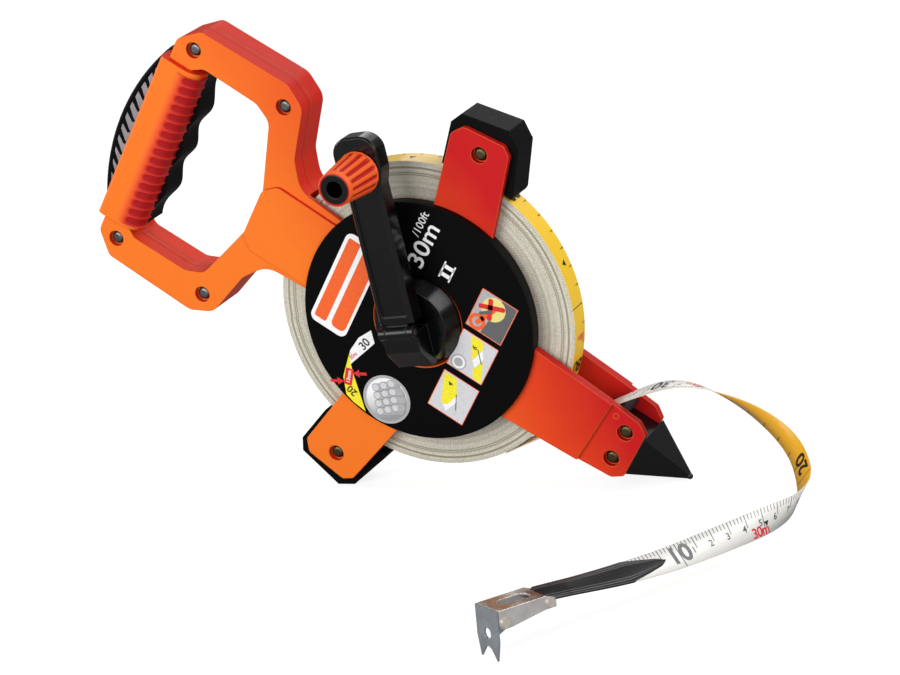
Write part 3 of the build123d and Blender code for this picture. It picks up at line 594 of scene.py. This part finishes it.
def strip_black():
    """Black webbing with pale lines that follow its border."""
    n = Nodes("strip_black")
    split = n.parts(n.coords.outputs["UV"])
    border = n.math("ABSOLUTE", split[1])
    phase = n.math("FRACT", n.math("ADD", n.math("MULTIPLY", border, 5.0), 0.5))
    line = n.math("LESS_THAN", phase, 0.22)
    line = n.math("MULTIPLY", line, n.math("GREATER_THAN", border, 0.42))
    weave = n.noise(900, detail=4)
    cloth = n.mix(weave, srgb(18, 17, 18), srgb(28, 27, 28))
    tone = n.mix(n.math("MULTIPLY", line, 0.75), cloth, srgb(118, 116, 118))
    n.relief(n.math("ADD", weave, n.math("MULTIPLY", line, 0.8)), 0.06, 0.3)
    return n.finish(tone, n.span(weave, 0.3, 0.7, 0.4, 0.52), Specular_IOR_Level=0.3)


STRIP = strip_black()

# The reinforcing strip: folded round the rear pin, tapering to a rounded tip on the tape
PIN = place(124.5, -177.5, 17.9)
HOOK_FORWARD = Vector((-0.50, -0.86, 0.10)).normalized()
HOOK_SIDE = Vector((0, 0, 1)).cross(HOOK_FORWARD).normalized()
HOOK_UP = HOOK_FORWARD.cross(HOOK_SIDE)
STRIP_REACH = 52.5
TAPER = 21.0
centre_line = []
for i in range(41):
    back_mm = STRIP_REACH * (1 - i / 40)
    point, heading, wide, normal = tape_frame(PATH_LENGTH - back_mm * MM)
    from_tip = STRIP_REACH - back_mm
    half = 6.7 * min(1.0, math.sqrt(min(1.0, from_tip / 3.0)) * (0.22 + 0.78 * min(1, from_tip / TAPER)))
    centre_line.append((point, wide, normal, max(half, 0.2)))
for i in range(1, 15):
    angle = math.radians(95 - i * 13)
    radial = HOOK_FORWARD * math.cos(angle) + HOOK_UP * math.sin(angle)
    blend_in = min(1.0, i / 5)
    wide = centre_line[40][1].lerp(HOOK_SIDE, blend_in).normalized()
    centre_line.append((PIN + radial * 2.0 * MM, wide, radial, 6.7))
# The strip's section: places across its half width, and their lift off the tape in mm
CUSHION = [(-1, 0.25), (-0.5, 0.75), (0, 0.85), (0.5, 0.75), (1, 0.25), (1, -0.45), (0, -0.6), (-1, -0.45)]
points, uvs = [], []
for index, (point, wide, normal, half) in enumerate(centre_line):
    for w, lift in CUSHION:
        points.append(point + (wide * w * half + normal * lift) * MM)
        uvs.append((index, w))
last = (len(centre_line) - 1) * 8
faces = skin(len(centre_line), 8) + [tuple(range(7, -1, -1)), tuple(last + j for j in range(8))]
strip = piece("end_strip_cover", points, faces, [STRIP], "frame", smooth=True, uv=uvs)
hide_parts("tape_free_end")
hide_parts("end_strip")
[tuple(tape_frame(PATH_LENGTH * i / 200)[0]) for i in range(201)]


# --- the wound tape ----------------------------------------------------------------------
def wound_tape_side():
    """The edges of the wound turns, two to the millimetre, each of its own shade."""
    n = Nodes("wound_tape_side")
    local = n.local(HUB)
    flat = n.vector("MULTIPLY", local, (1, 0, 1))
    radius = n.vector("LENGTH", flat, out=1)
    split = n.parts(local)
    angle = n.math("ARCTAN2", split[2], split[0])
    wobble = n.noise(9, local, detail=2)
    turns = n.math("ADD", n.math("MULTIPLY", radius, 2000), n.math("DIVIDE", angle, 2 * math.pi))
    turns = n.math("ADD", turns, n.math("MULTIPLY", wobble, 1.6))
    number = n.math("FLOOR", turns)
    white = n.tree.nodes.new("ShaderNodeTexWhiteNoise")
    white.noise_dimensions = "1D"
    n.link(number, white.inputs["W"])
    shade = white.outputs["Value"]
    group = n.tree.nodes.new("ShaderNodeTexNoise")
    group.noise_dimensions = "1D"
    group.inputs["Scale"].default_value = 0.31
    group.inputs["Detail"].default_value = 3
    n.link(turns, group.inputs["W"])
    within = n.math("FRACT", turns)
    gap = n.math("LESS_THAN", within, 0.28)
    cream = n.mix(n.span(group.outputs["Fac"], 0.3, 0.7), srgb(250, 247, 236), srgb(226, 220, 198))
    cream = n.mix(n.math("MULTIPLY", shade, 0.28), cream, srgb(172, 162, 134))
    brown = n.math("MULTIPLY", n.math("GREATER_THAN", shade, 0.82), 0.6)
    cream = n.mix(brown, cream, srgb(122, 104, 58))
    cream = n.mix(n.math("MULTIPLY", gap, 0.42), cream, srgb(116, 100, 66))
    # The woven edge shows as small dots along every turn
    around = n.math("MULTIPLY", n.math("MULTIPLY", angle, radius), 700)
    dots = n.math("LESS_THAN", n.math("FRACT", n.math("ADD", around, n.math("MULTIPLY", shade, 9))), 0.42)
    cream = n.mix(n.math("MULTIPLY", dots, 0.26), cream, srgb(112, 98, 66))
    speck = n.noise(1500, local, detail=2)
    cream = n.mix(n.math("MULTIPLY", n.span(speck, 0.5, 0.66), 0.4), cream, srgb(140, 134, 112))
    n.relief(n.math("ADD", n.math("MULTIPLY", shade, 0.7), n.math("MULTIPLY", gap, -0.8)), 0.25)
    return n.finish(cream, 0.62)


ROLL_SIDE = wound_tape_side()


def wound_tape_outside():
    """The outer turn: yellow with a mark every 10 mm and a full line every 100 mm."""
    n = Nodes("wound_tape_outside")
    local = n.local(HUB)
    split = n.parts(local)
    angle = n.math("ARCTAN2", split[2], split[0])
    depth = n.math("MULTIPLY", split[1], 1000)
    arc = n.math("ADD", n.math("MULTIPLY", angle, ROLL_RADIUS), 400)
    tick = n.math("LESS_THAN", n.math("FRACT", n.math("DIVIDE", arc, 10)), 0.06)
    tick = n.math("MULTIPLY", tick, n.math("GREATER_THAN", depth, 3.2))
    full = n.math("LESS_THAN", n.math("FRACT", n.math("DIVIDE", arc, 100)), 0.006)
    tick = n.math("MAXIMUM", tick, full)
    fibre = n.noise(700, n.vector("MULTIPLY", local, (1, 3, 1)), detail=3)
    tone = n.mix(fibre, srgb(253, 208, 40), srgb(247, 196, 28))
    tone = n.mix(n.math("MULTIPLY", tick, 0.9), tone, srgb(42, 32, 14))
    n.relief(fibre, 0.02)
    return n.finish(tone, 0.4, Coat_Weight=0.15)


ROLL_OUT = wound_tape_outside()

SEGMENTS = 192
ROLL_HALF = 6.45
rings = []
radius_mm = 49.0
while radius_mm < ROLL_RADIUS - 0.1:
    rings.append(radius_mm)
    radius_mm += 0.5
rings.append(ROLL_RADIUS)
drift = [0.0]
for _ in rings[1:]:
    drift.append(drift[-1] * 0.8 + random.uniform(-0.1, 0.1))
phases = [random.uniform(0, 6.28) for _ in rings]
points, faces, which = [], [], []
for side in (1, -1):
    for index, r in enumerate(rings):
        for k in range(SEGMENTS):
            a = 2 * math.pi * k / SEGMENTS
            proud = drift[index] + 0.06 * math.sin(a * 2 + phases[index // 9])
            depth = side * (ROLL_HALF + 0.6 * proud)
            points.append(reel(r * math.cos(a), r * math.sin(a), depth))
per_side = len(rings) * SEGMENTS
for side in range(2):
    for index in range(len(rings) - 1):
        for k in range(SEGMENTS):
            a = side * per_side + index * SEGMENTS + k
            b = side * per_side + index * SEGMENTS + (k + 1) % SEGMENTS
            quad = (a, a + SEGMENTS, b + SEGMENTS, b)
            faces.append(quad if side == 0 else quad[::-1])
            which.append(0)
for index, material_index in ((len(rings) - 1, 1), (0, 0)):
    for k in range(SEGMENTS):
        a = index * SEGMENTS + k
        b = index * SEGMENTS + (k + 1) % SEGMENTS
        quad = (a, b, b + per_side, a + per_side)
        faces.append(quad[::-1] if index else quad)
        which.append(material_index)
roll = piece("wound_tape", points, faces, [ROLL_SIDE, ROLL_OUT], "reel", which, True)
roll.data.set_sharp_from_angle(angle=math.radians(40))
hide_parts("tape_roll")


def on_roll(x, y, lift):
    """x is distance round the roll in mm and y across it, on the outer turn."""
    a = x / ROLL_RADIUS
    return reel((ROLL_RADIUS + lift) * math.cos(a), (ROLL_RADIUS + lift) * math.sin(a), y)


# The outer turn's numbers, one every 100 mm, with a small unit and an arrow between them
marks, red_marks = [], []
for k in range(5):
    x = 18.5 + 100 * k
    marks.append(turned(letters(str(80 + 10 * k)[-2:], 10.5, 0.95, 0.03), x, -1.0, 90))
    marks.append(turned(polygon((-1.8, -1.6), (1.8, -1.6), (0, 1.8)), x + 56, 0.5, 0))
    red_marks.append(turned(letters("30m", 5.0, 0.9), x + 16, -1.2, 90))
print_on("wound_tape_print", [(INK_BLACK, 0.05, marks), (INK_RED, 0.05, red_marks)], on_roll, "reel")

# --- frame -------------------------------------------------------------------------------
for name, material in (
    ("frame_front_shell", ORANGE), ("frame_rear_shell", ORANGE),
    ("palm_grip", RUBBER), ("finger_grip", RUBBER), ("lower_foot", RUBBER),
    ("upper_foot", RUBBER), ("ground_spike", BLACK), ("handle_screws", STEEL),
    ("foot_screws", BRASS), ("spike_screws", BRASS), ("axle_bushes", WHITE_PLASTIC), ("reel_drum", DRUM),
    ("reel_axle", STEEL), ("axle_cap", BLACK), ("crank_boss", BLACK), ("crank_hinge_pin", STEEL),
    ("crank_arm", BLACK), ("knob_sleeve", BLACK), ("guide_pin", ORANGE), ("guide_roller", DRUM),
    ("hook_rear_pin", RIVET), ("hook_bracket", CHROME), ("hook_front_pin", RIVET), ("hook_claw", CLAW),
):
    dress(name, material)


def label_black():
    """The black plastic behind both labels' print, faintly speckled."""
    n = Nodes("label_black")
    speck = n.noise(900, detail=3)
    n.relief(speck, 0.006, 0.15)
    return n.finish(n.mix(speck, srgb(4, 4, 5), srgb(9, 9, 10)), n.span(speck, 0.3, 0.7, 0.36, 0.46),
                    Specular_IOR_Level=0.06)


def tape_span_faces():
    """The short stretch of tape between the roll and the guide: yellow outside, white inside."""
    n = Nodes("tape_span_faces")
    outward = tuple(ALONG * SPAN_U - ACROSS * SPAN_V)
    geometry = n.tree.nodes.new("ShaderNodeNewGeometry")
    facing = n.vector("DOT_PRODUCT", geometry.outputs["Normal"], outward, out=1)
    fibre = n.noise(500)
    tone = n.mix(n.math("GREATER_THAN", facing, 0.3), srgb(232, 228, 216), srgb(246, 194, 26))
    tone = n.mix(n.math("MULTIPLY", fibre, 0.2), tone, srgb(190, 170, 110))
    n.relief(fibre, 0.02)
    return n.finish(tone, 0.42)


LABEL = label_black()
dress("front_label", LABEL)
dress("rear_label", LABEL)
dress("tape_span", tape_span_faces())

# The knob: a tapered orange grip with long flutes that stop short of a plain rim
KNOB_AXIS = 86.5  # its distance from the reel's axis
KNOB_BASE = 38.4  # the depth of its wide end
KNOB_WIDE = 11.2  # its radius there
KNOB_TAPER = 0.0902
FLUTES = 14
FLUTE_END = 62.0
FLUTE_DEPTH = 1.15


def knob_orange():
    """Orange on the ridges, and red as painted shade where the skin dips into a flute."""
    n = Nodes("knob_orange")
    local = n.local(crank(KNOB_AXIS, 0, 0))
    split = n.parts(local)
    flat = n.vector("MULTIPLY", local, (1, 0, 1))
    away = n.math("MULTIPLY", n.vector("LENGTH", flat, out=1), 1000)
    height = n.math("SUBTRACT", n.math("MULTIPLY", split[1], -1000), KNOB_BASE)
    ridge = n.math("SUBTRACT", KNOB_WIDE, n.math("MULTIPLY", height, KNOB_TAPER))
    # Painted shade: red where the skin dips into a flute
    deep = n.span(n.math("SUBTRACT", ridge, away), 0.1, 0.8)
    fine = n.noise(1100, detail=4)
    n.relief(fine, 0.016, 0.4)
    return n.finish(n.mix(deep, srgb(240, 100, 34), srgb(184, 24, 20)), n.span(fine, 0.3, 0.7, 0.36, 0.44),
                    Specular_IOR_Level=0.25)


KNOB = knob_orange()

# Radius and depth of each ring of points. A radius of 0 stands for the tapered wall
levels = [(6.3, 38.5), (10.8, 38.4), (11.2, 38.8)] + [(0, 40 + 0.75 * i) for i in range(29)]
levels += [(0, 62.3), (0, 63.4), (0, 64.5), (8.3, 64.95), (7.55, 65.0), (7.5, 63.0), (6.3, 63.0)]
around = FLUTES * 12
points = []
for radius_at, depth in levels:
    for k in range(around):
        a = 2 * math.pi * k / around
        r = radius_at or KNOB_WIDE - (depth - KNOB_BASE) * KNOB_TAPER
        if not radius_at:
            ends = min(1.0, max(0.0, (FLUTE_END - depth) / 1.2), max(0.0, depth - KNOB_BASE - 0.8))
            trough = max(0.0, math.cos(a * FLUTES) + 0.25) / 1.25
            r -= FLUTE_DEPTH * ends * trough ** 0.7
        points.append(crank(KNOB_AXIS + r * math.cos(a), r * math.sin(a), depth))
knob = piece("knob_grip", points, skin(len(levels), around), [KNOB], "knob", smooth=True)
knob.data.set_sharp_from_angle(angle=math.radians(50))
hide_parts("crank_knob")

# The black plastic under both labels wraps the hub discs' edges
LABEL_RADIUS = 63.8
DISC_RADIUS = 62.82
RIM_SECTION = [(DISC_RADIUS, 9.4), (LABEL_RADIUS - 0.3, 9.4), (LABEL_RADIUS, 14.5), (DISC_RADIUS, 14.5)]
for name, side in (("hub_rim", 1), ("rear_hub_rim", -1)):
    points, faces = [], []
    for k in range(128):
        for r, depth in RIM_SECTION:
            points.append(reel(*on_circle(r, k, 128), side * depth))
        for j in range(4):
            a, b = k * 4 + j, k * 4 + (j + 1) % 4
            c, d = (k + 1) % 128 * 4 + (j + 1) % 4, (k + 1) % 128 * 4 + j
            faces.append((a, b, c, d)[::side])
    piece(name, points, faces, [LABEL], "frame")

# A black ring of painted shadow hides most of the orange collar round the crank's boss. Its opening is off
# centre
COLLAR_SHADOW_OUTER, COLLAR_SHADOW_INNER, COLLAR_SHADOW_FACE = 25.58, 24.95, 16.8
points, faces = [], []
for k in range(96):
    u, v = on_circle(COLLAR_SHADOW_INNER, k, 96)
    points.append(reel(*on_circle(COLLAR_SHADOW_OUTER, k, 96), COLLAR_SHADOW_FACE))
    points.append(reel(u + 0.18, v - 0.25, COLLAR_SHADOW_FACE))
    a, b = 2 * k, 2 * ((k + 1) % 96)
    faces.append((a, b, b + 1, a + 1))
piece("collar_painted_shadow", points, faces, [LABEL], "frame")


# --- label print -------------------------------------------------------------------------
LABEL_FACE = 17.0
REAR_LABEL_FACE = 15.5


def on_label(x, y, lift):
    """x reads across the reel and y towards the handle, on the front label."""
    return reel(-y, x, LABEL_FACE + lift)


def fitted(text, x0, x1, y0, y1, weight=0.012):
    """A word stretched to fill a box."""
    flat, polygons = letters(text, 10, 1.0, weight)
    left, right = min(p[0] for p in flat), max(p[0] for p in flat)
    base, top = min(p[1] for p in flat), max(p[1] for p in flat)
    wider, taller = (x1 - x0) / (right - left), (y1 - y0) / (top - base)
    return [(x0 + (x - left) * wider, y0 + (y - base) * taller) for x, y in flat], polygons


badge = [
    (INK_WHITE, 0.05, [turned(rounded(56, 22, 4), -4.8, 41.8)]),
    (INK_ORANGE, 0.09, [turned(rounded(50, 8.6, 3), -4.8, 36.6)]),
    (INK_ORANGE, 0.09, [turned(rounded(50, 7.2, 1.2), -4.8, 47.2)]),
]
print_on("label_badge", badge, on_label, "frame")
words = [
    (INK_WHITE, 0.05, [fitted("30m", 27.2, 52.3, 9.7, 19.0, 0.012),
                       fitted("/100ft", 42.0, 56.6, 18.2, 22.6, 0.002),
                       rounded(2.2, 6.2, 0.2, 31.8, -2.7), rounded(2.2, 6.2, 0.2, 36.4, -2.7),
                       rounded(9.6, 0.9, 0.1, 34.1, 0.2), rounded(9.6, 0.9, 0.1, 34.1, -5.6)]),
]
print_on("label_words", words, on_label, "frame")

# Three small pictures: a crossed-out reel on sand, the tape's layers, and its white core
frames, backs = [], []
for centre_x, centre_y in ((26.0, -33.4), (0.2, -33.6), (-26.3, -34.1)):
    frames.append(rounded(23.0, 21.4, 0.3, centre_x, centre_y))
    backs.append(rounded(22.3, 20.7, 0.2, centre_x, centre_y))
ground = polygon((15.0, -43.6), (37.0, -43.6), (37.0, -34.5), (31, -36.5), (24, -33), (15.0, -31.5))
print_on("label_pictures", [
    (INK_ORANGE, 0.03, frames), (INK_SILVER, 0.06, backs[:1]), (INK_PALE, 0.06, backs[1:]),
    (INK_GREY, 0.09, [ground]),
    (INK_SAND, 0.11, [turned(ring(6.6, 0), 30.0, -32.6)]),
    (INK_ORANGE, 0.13, [turned(ring(4.6, 2.7), 19.2, -27.6),
                        turned(rounded(14, 2.6, 1.0), 24.5, -30.4, -25)]),
    (INK_RED, 0.15, [turned(rounded(14.5, 2.6, 1.0), 30.5, -31.4, -68),
                     turned(rounded(12, 2.6, 1.0), 29.0, -31.0, 20)]),
    (INK_GREY, 0.17, [turned(rounded(7, 1.8, 0.8), 26.2, -29.4, -50)]),
    (INK_YELLOW, 0.12, [polygon((10.6, -28.0), (10.9, -35.0), (7.5, -37.0), (-1.6, -34.3)),
                        polygon((1.0, -39.8), (-10.4, -43.6), (-10.5, -38.9), (-6, -36.6)),
                        polygon((-16.0, -24.2), (-15.9, -31.4), (-24.4, -35.6), (-31.6, -33.0),
                                (-33.0, -29.6))]),
    (INK_WHITE, 0.13, [polygon((-24.4, -35.6), (-27.5, -37.0), (-35.6, -33.7), (-33.0, -30.6),
                               (-31.6, -33.0)),
                       polygon((7.0, -37.2), (2.0, -39.4), (-4.5, -37.2), (-1.8, -34.5))]),
    (INK_BLACK, 0.15, [turned(rounded(8.5, 0.45, 0.2), 2.4, -37.0, 38),
                       turned(rounded(9, 0.45, 0.2), -28, -36.6, 22),
                       turned(letters("6", 4.0), 5.5, -32.6, -15),
                       turned(letters("4", 4.0), -20.5, -29.8, -15)]),
    (INK_SILVER, 0.1, [turned(ring(4.4, 3.6), -6.8, -28.4), turned(ring(2.4, 0), -6.8, -28.4)]),
    (INK_WHITE, 0.09, [turned(ring(3.7, 0), -6.8, -28.4)]),
], on_label, "frame")

# A picture of the tape itself, with its width between two red arrows
yellow_run = polygon((-37.0, 25.3), (-52.1, 22.8), (-60.3, 17.2), (-61.9, 12), (-62.8, 4), (-56.6, 9.8),
                     (-48.5, 17.6), (-43.5, 21.7))
white_run = polygon((-36.6, 25.4), (-27.1, 24.1), (-19.4, 19.9), (-24.9, 15.2), (-43.4, 22.0))
shaft, point_out = rounded(4.4, 1.6, 0.1), polygon((0, -2.2), (3.6, 0), (0, 2.2))
print_on("label_tape_picture", [
    (INK_YELLOW, 0.05, [yellow_run]),
    (INK_WHITE, 0.06, [white_run]),
    (INK_BLACK, 0.1, [turned(letters("30", 6.4), -28.6, 19.8, -14),
                      turned(letters("20", 5.6), -56.6, 15.2, 76)]),
    (INK_RED, 0.1, [turned(rounded(9.5, 4.6, 0.6), -50.4, 20.0, 16),
                    turned(shaft, -44.4, 13.9, 122), turned(point_out, -45.4, 15.6, 122),
                    turned(shaft, -57.4, 26.2, -58), turned(point_out, -56.3, 24.4, -58),
                    turned(letters("30m", 3.0), -38.2, 22.6, -20)]),
    (INK_WHITE, 0.13, [turned(letters("13mm", 2.9), -50.4, 20.0, 16)]),
], on_label, "frame")

# The round window and its glass fibres: rows of rounded rods, each in front of the one before
WINDOW_X, WINDOW_Y, WINDOW_TURN = -49.3, -3.4, -54.6
rods = []
for row in range(4):
    for column in range(3):
        y = 6.6 - 4.4 * row + 0.9 * column
        x = -7.2 + 4.6 * column
        reach = math.sqrt(11.6 ** 2 - y ** 2) - 0.6
        lift = 0.1 + 0.02 * (3 * row + column)
        for grow, material, extra in ((0.22, INK_GREY, 0.0), (0.0, INK_SILVER, 0.006)):
            shape = rounded(reach - x + grow, 4.2 + grow, 2.05, (x + reach) / 2, y)
            rods.append((material, lift + extra, [turned(shape, WINDOW_X, WINDOW_Y, WINDOW_TURN)]))
        end = rounded(3.4, 3.3, 1.6, x + 1.9, y)
        rods.append((INK_PALE, lift + 0.012, [turned(end, WINDOW_X, WINDOW_Y, WINDOW_TURN)]))
print_on("label_rods", rods, on_label, "frame")


def label_window():
    """White that darkens towards one side."""
    n = Nodes("label_window")
    local = n.local(reel(-WINDOW_Y, WINDOW_X, LABEL_FACE))
    u = n.vector("DOT_PRODUCT", local, tuple(ALONG), out=1)
    v = n.vector("DOT_PRODUCT", local, tuple(ACROSS), out=1)
    shade = n.span(n.math("SUBTRACT", u, v), -0.008, 0.014)
    tone = n.mix(shade, srgb(244, 244, 244), srgb(150, 150, 152))
    n.relief(n.noise(120, local, detail=2), 0.01)
    return n.finish(tone, 0.4)


WINDOW = label_window()
print_on("label_window", [
    (INK_SILVER, 0.4, [ring(13.4, 11.9, WINDOW_X, WINDOW_Y)]),
    (WINDOW, 0.08, [ring(12.1, 0, WINDOW_X, WINDOW_Y)]),
], on_label, "frame")


def on_rear(x, y, lift):
    """The same on the far label, read from behind."""
    return reel(-y, -x, -REAR_LABEL_FACE - lift)


print_on("rear_label_print", [
    (INK_WHITE, 0.05, [turned(letters("30m", 16, 0.95), 0, 36), turned(letters("13mm", 8, 0.95), 0, -34),
                       ring(58.6, 58.0)]),
    (INK_ORANGE, 0.05, [rounded(44, 3, 1.2, 0, 24.5), rounded(44, 3, 1.2, 0, -24.5)]),
], on_rear, "frame")

# --- grips -------------------------------------------------------------------------------
# Ribs on the inner flank of the handle bar, from its front face round to the finger grip
# Each step of the profile holds u, depth and the outward direction there
FLANK_STEPS = 24
profile = []
for step in range(FLANK_STEPS + 1):
    t = step / FLANK_STEPS
    if t < 0.15:
        profile.append((-170.5 + 2.5 * t / 0.15, 16.0, 0.0, 1.0))
    elif t < 0.95:
        a = math.radians(90 * (t - 0.15) / 0.8)
        profile.append((-168.0 + 10 * math.sin(a), 6.0 + 10 * math.cos(a), math.sin(a), math.cos(a)))
    else:
        profile.append((-158.0, 6.0 - 1.0 * (t - 0.95) / 0.05, 1.0, 0.0))
RIBS = 17
GRIP_HALF = 47.5
points, uvs = [], []
columns = RIBS * 12
for j in range(columns + 1):
    v = -GRIP_HALF + 2 * GRIP_HALF * j / columns
    phase = (j / 12) % 1
    for step, (u, depth, nu, nd) in enumerate(profile):
        t = step / FLANK_STEPS
        start = 0.2 + 0.12 * (2 * phase - 1) ** 2
        rise = min(1.0, max(0.0, (t - start) / 0.1))
        lift = 1.1 - 1.0 * rise * math.sqrt(max(0.0, 1 - (2 * phase - 1) ** 4))
        lift *= min(1.0, t / 0.12)
        lift = max(lift, 0.04)
        points.append(reel(u + nu * lift, v, depth + nd * lift))
        uvs.append((t, lift))


def grip_rib_skin():
    """Orange in front of the bar, red as painted shade where its flank turns away, and deeper painted shade
    in the grooves.
    """
    n = Nodes("grip_rib_skin")
    local = n.local(HUB)
    towards = n.math("MULTIPLY", n.vector("DOT_PRODUCT", local, tuple(ALONG), out=1), 1000)
    fine = n.noise(900, detail=4)
    n.relief(fine, 0.02)
    # Painted shade: orange turns red where the flank turns away from the front
    turn = n.span(n.math("ADD", towards, n.math("MULTIPLY", fine, 0.6)), -169.5, -165.0)
    # Deeper painted shade in the grooves between the ribs
    groove_shade = n.span(n.parts(n.coords.outputs["UV"])[1], 1.0, 0.15)
    red = n.mix(groove_shade, srgb(226, 52, 32), srgb(176, 22, 26))
    tone = n.mix(turn, srgb(241, 110, 34), red)
    return n.finish(tone, n.span(fine, 0.3, 0.7, 0.42, 0.52), Specular_IOR_Level=0.3)


RIBBED = grip_rib_skin()
faces = skin(columns + 1, FLANK_STEPS + 1, wrap=False)
piece("grip_ribs", points, faces, [RIBBED], "frame", smooth=True, uv=uvs)

SWELL_TOP = -194.5  # u of the palm swell's crown
SWELL_HALF, SWELL_RISE = 51.5, 11.5


def crown(v, inset):
    """u of the palm swell's outline at v, inset mm inside it."""
    radius = (SWELL_HALF ** 2 + SWELL_RISE ** 2) / (2 * SWELL_RISE)
    middle = SWELL_TOP + radius
    return middle - math.sqrt((radius - inset) ** 2 - v ** 2)


# The palm swell's painted reflection: a grey strip on the black rubber, crossed by its slanted black teeth
points, faces = [], []
for j in range(61):
    v = -GRIP_HALF + 2 * GRIP_HALF * j / 60
    outer = min(crown(v, 3.2), -182.0)
    for u, depth in ((outer, 5.0), (outer + 0.15, 5.35), (-181.5, 5.35), (-181.5, 5.0)):
        points.append(reel(u, v, depth))
for j in range(60):
    for k in range(3):
        a = j * 4 + k
        faces.append((a, a + 4, a + 5, a + 1))
piece("palm_reflection_strip", points, faces, [PALM_REFLECTION], "frame")
points, faces = [], []
for k in range(13):
    v = -42 + 7.0 * k
    root = crown(v, 2.6)
    deep = min(-183.2, root + 6.0)
    tip = (deep, v - 4.6)
    base_a, base_b = (root, v + 2.0), (root, v - 1.6)
    first = len(points)
    ring_points = []
    for step in range(9):
        a = math.pi * (step / 8 - 0.5)
        ring_points.append((tip[0] - 0.9 + 1.1 * math.cos(a), tip[1] + 1.1 * math.sin(a) * 0.9))
    loop = [base_b] + ring_points + [base_a]
    points += [reel(u, w, 5.75) for u, w in loop]
    points += [reel(u, w, 5.2) for u, w in loop]
    size = len(loop)
    faces.append(tuple(first + i for i in range(size)))
    for i in range(size):
        faces.append((first + i, first + (i + 1) % size, first + size + (i + 1) % size, first + size + i))
piece("palm_teeth", points, faces, [RUBBER], "frame")

# --- floor and light ---------------------------------------------------------------------
FLOOR_Z = -0.0002
points = [(0.0, 0.0, FLOOR_Z)] + [(*on_circle(9, i, 96), FLOOR_Z) for i in range(96)]
faces = [(0, 1 + i, 1 + (i + 1) % 96) for i in range(96)]
mesh = bpy.data.meshes.new("floor")
mesh.from_pydata(points, [], faces)
floor = bpy.data.objects.new("floor", mesh)
bpy.context.scene.collection.objects.link(floor)
n = Nodes("floor_white")
n.finish(srgb(150, 150, 150), 0.9)
n.shader.inputs["Specular IOR Level"].default_value = 0.0
n.shader.inputs["Emission Color"].default_value = (1, 1, 1, 1)
seen = n.tree.nodes.new("ShaderNodeLightPath")
n.link(n.math("MULTIPLY", seen.outputs["Is Camera Ray"], 0.82), n.shader.inputs["Emission Strength"])
mesh.materials.append(n.material)

world = bpy.data.worlds.new("studio")
bpy.context.scene.world = world
world.use_nodes = True
world.node_tree.nodes["Background"].inputs["Color"].default_value = (0.95, 0.97, 1.0, 1)
world.node_tree.nodes["Background"].inputs["Strength"].default_value = 0.22


def panel(name, position, target, size, watts, colour=(1, 1, 1)):
    data = bpy.data.lights.new(name, "AREA")
    data.shape = "RECTANGLE"
    data.size, data.size_y = size
    data.energy = watts
    data.color = colour
    lamp = bpy.data.objects.new(name, data)
    lamp.location = position
    lamp.rotation_euler = (Vector(target) - Vector(position)).to_track_quat("-Z", "Y").to_euler()
    bpy.context.scene.collection.objects.link(lamp)


panel("key_light", (-0.45, -1.5, 0.75), (-0.02, 0, 0.1), (1.3, 1.2), 22.5)
panel("fill_light", (1.0, -1.3, 0.35), (0.1, -0.1, 0.05), (1.1, 1.0), 10.5)
panel("side_light", (1.1, 0.35, 1.0), (0, 0, 0.1), (1.0, 1.0), 13)
panel("left_light", (-1.3, 0.15, 0.5), (0, 0, 0.12), (0.4, 1.0), 5)
panel("back_light", (-0.2, 1.7, 0.7), (0, 0, 0.1), (1.3, 1.0), 9)

bpy.context.scene.view_settings.view_transform = "Standard"
bpy.context.scene.view_settings.look = "None"
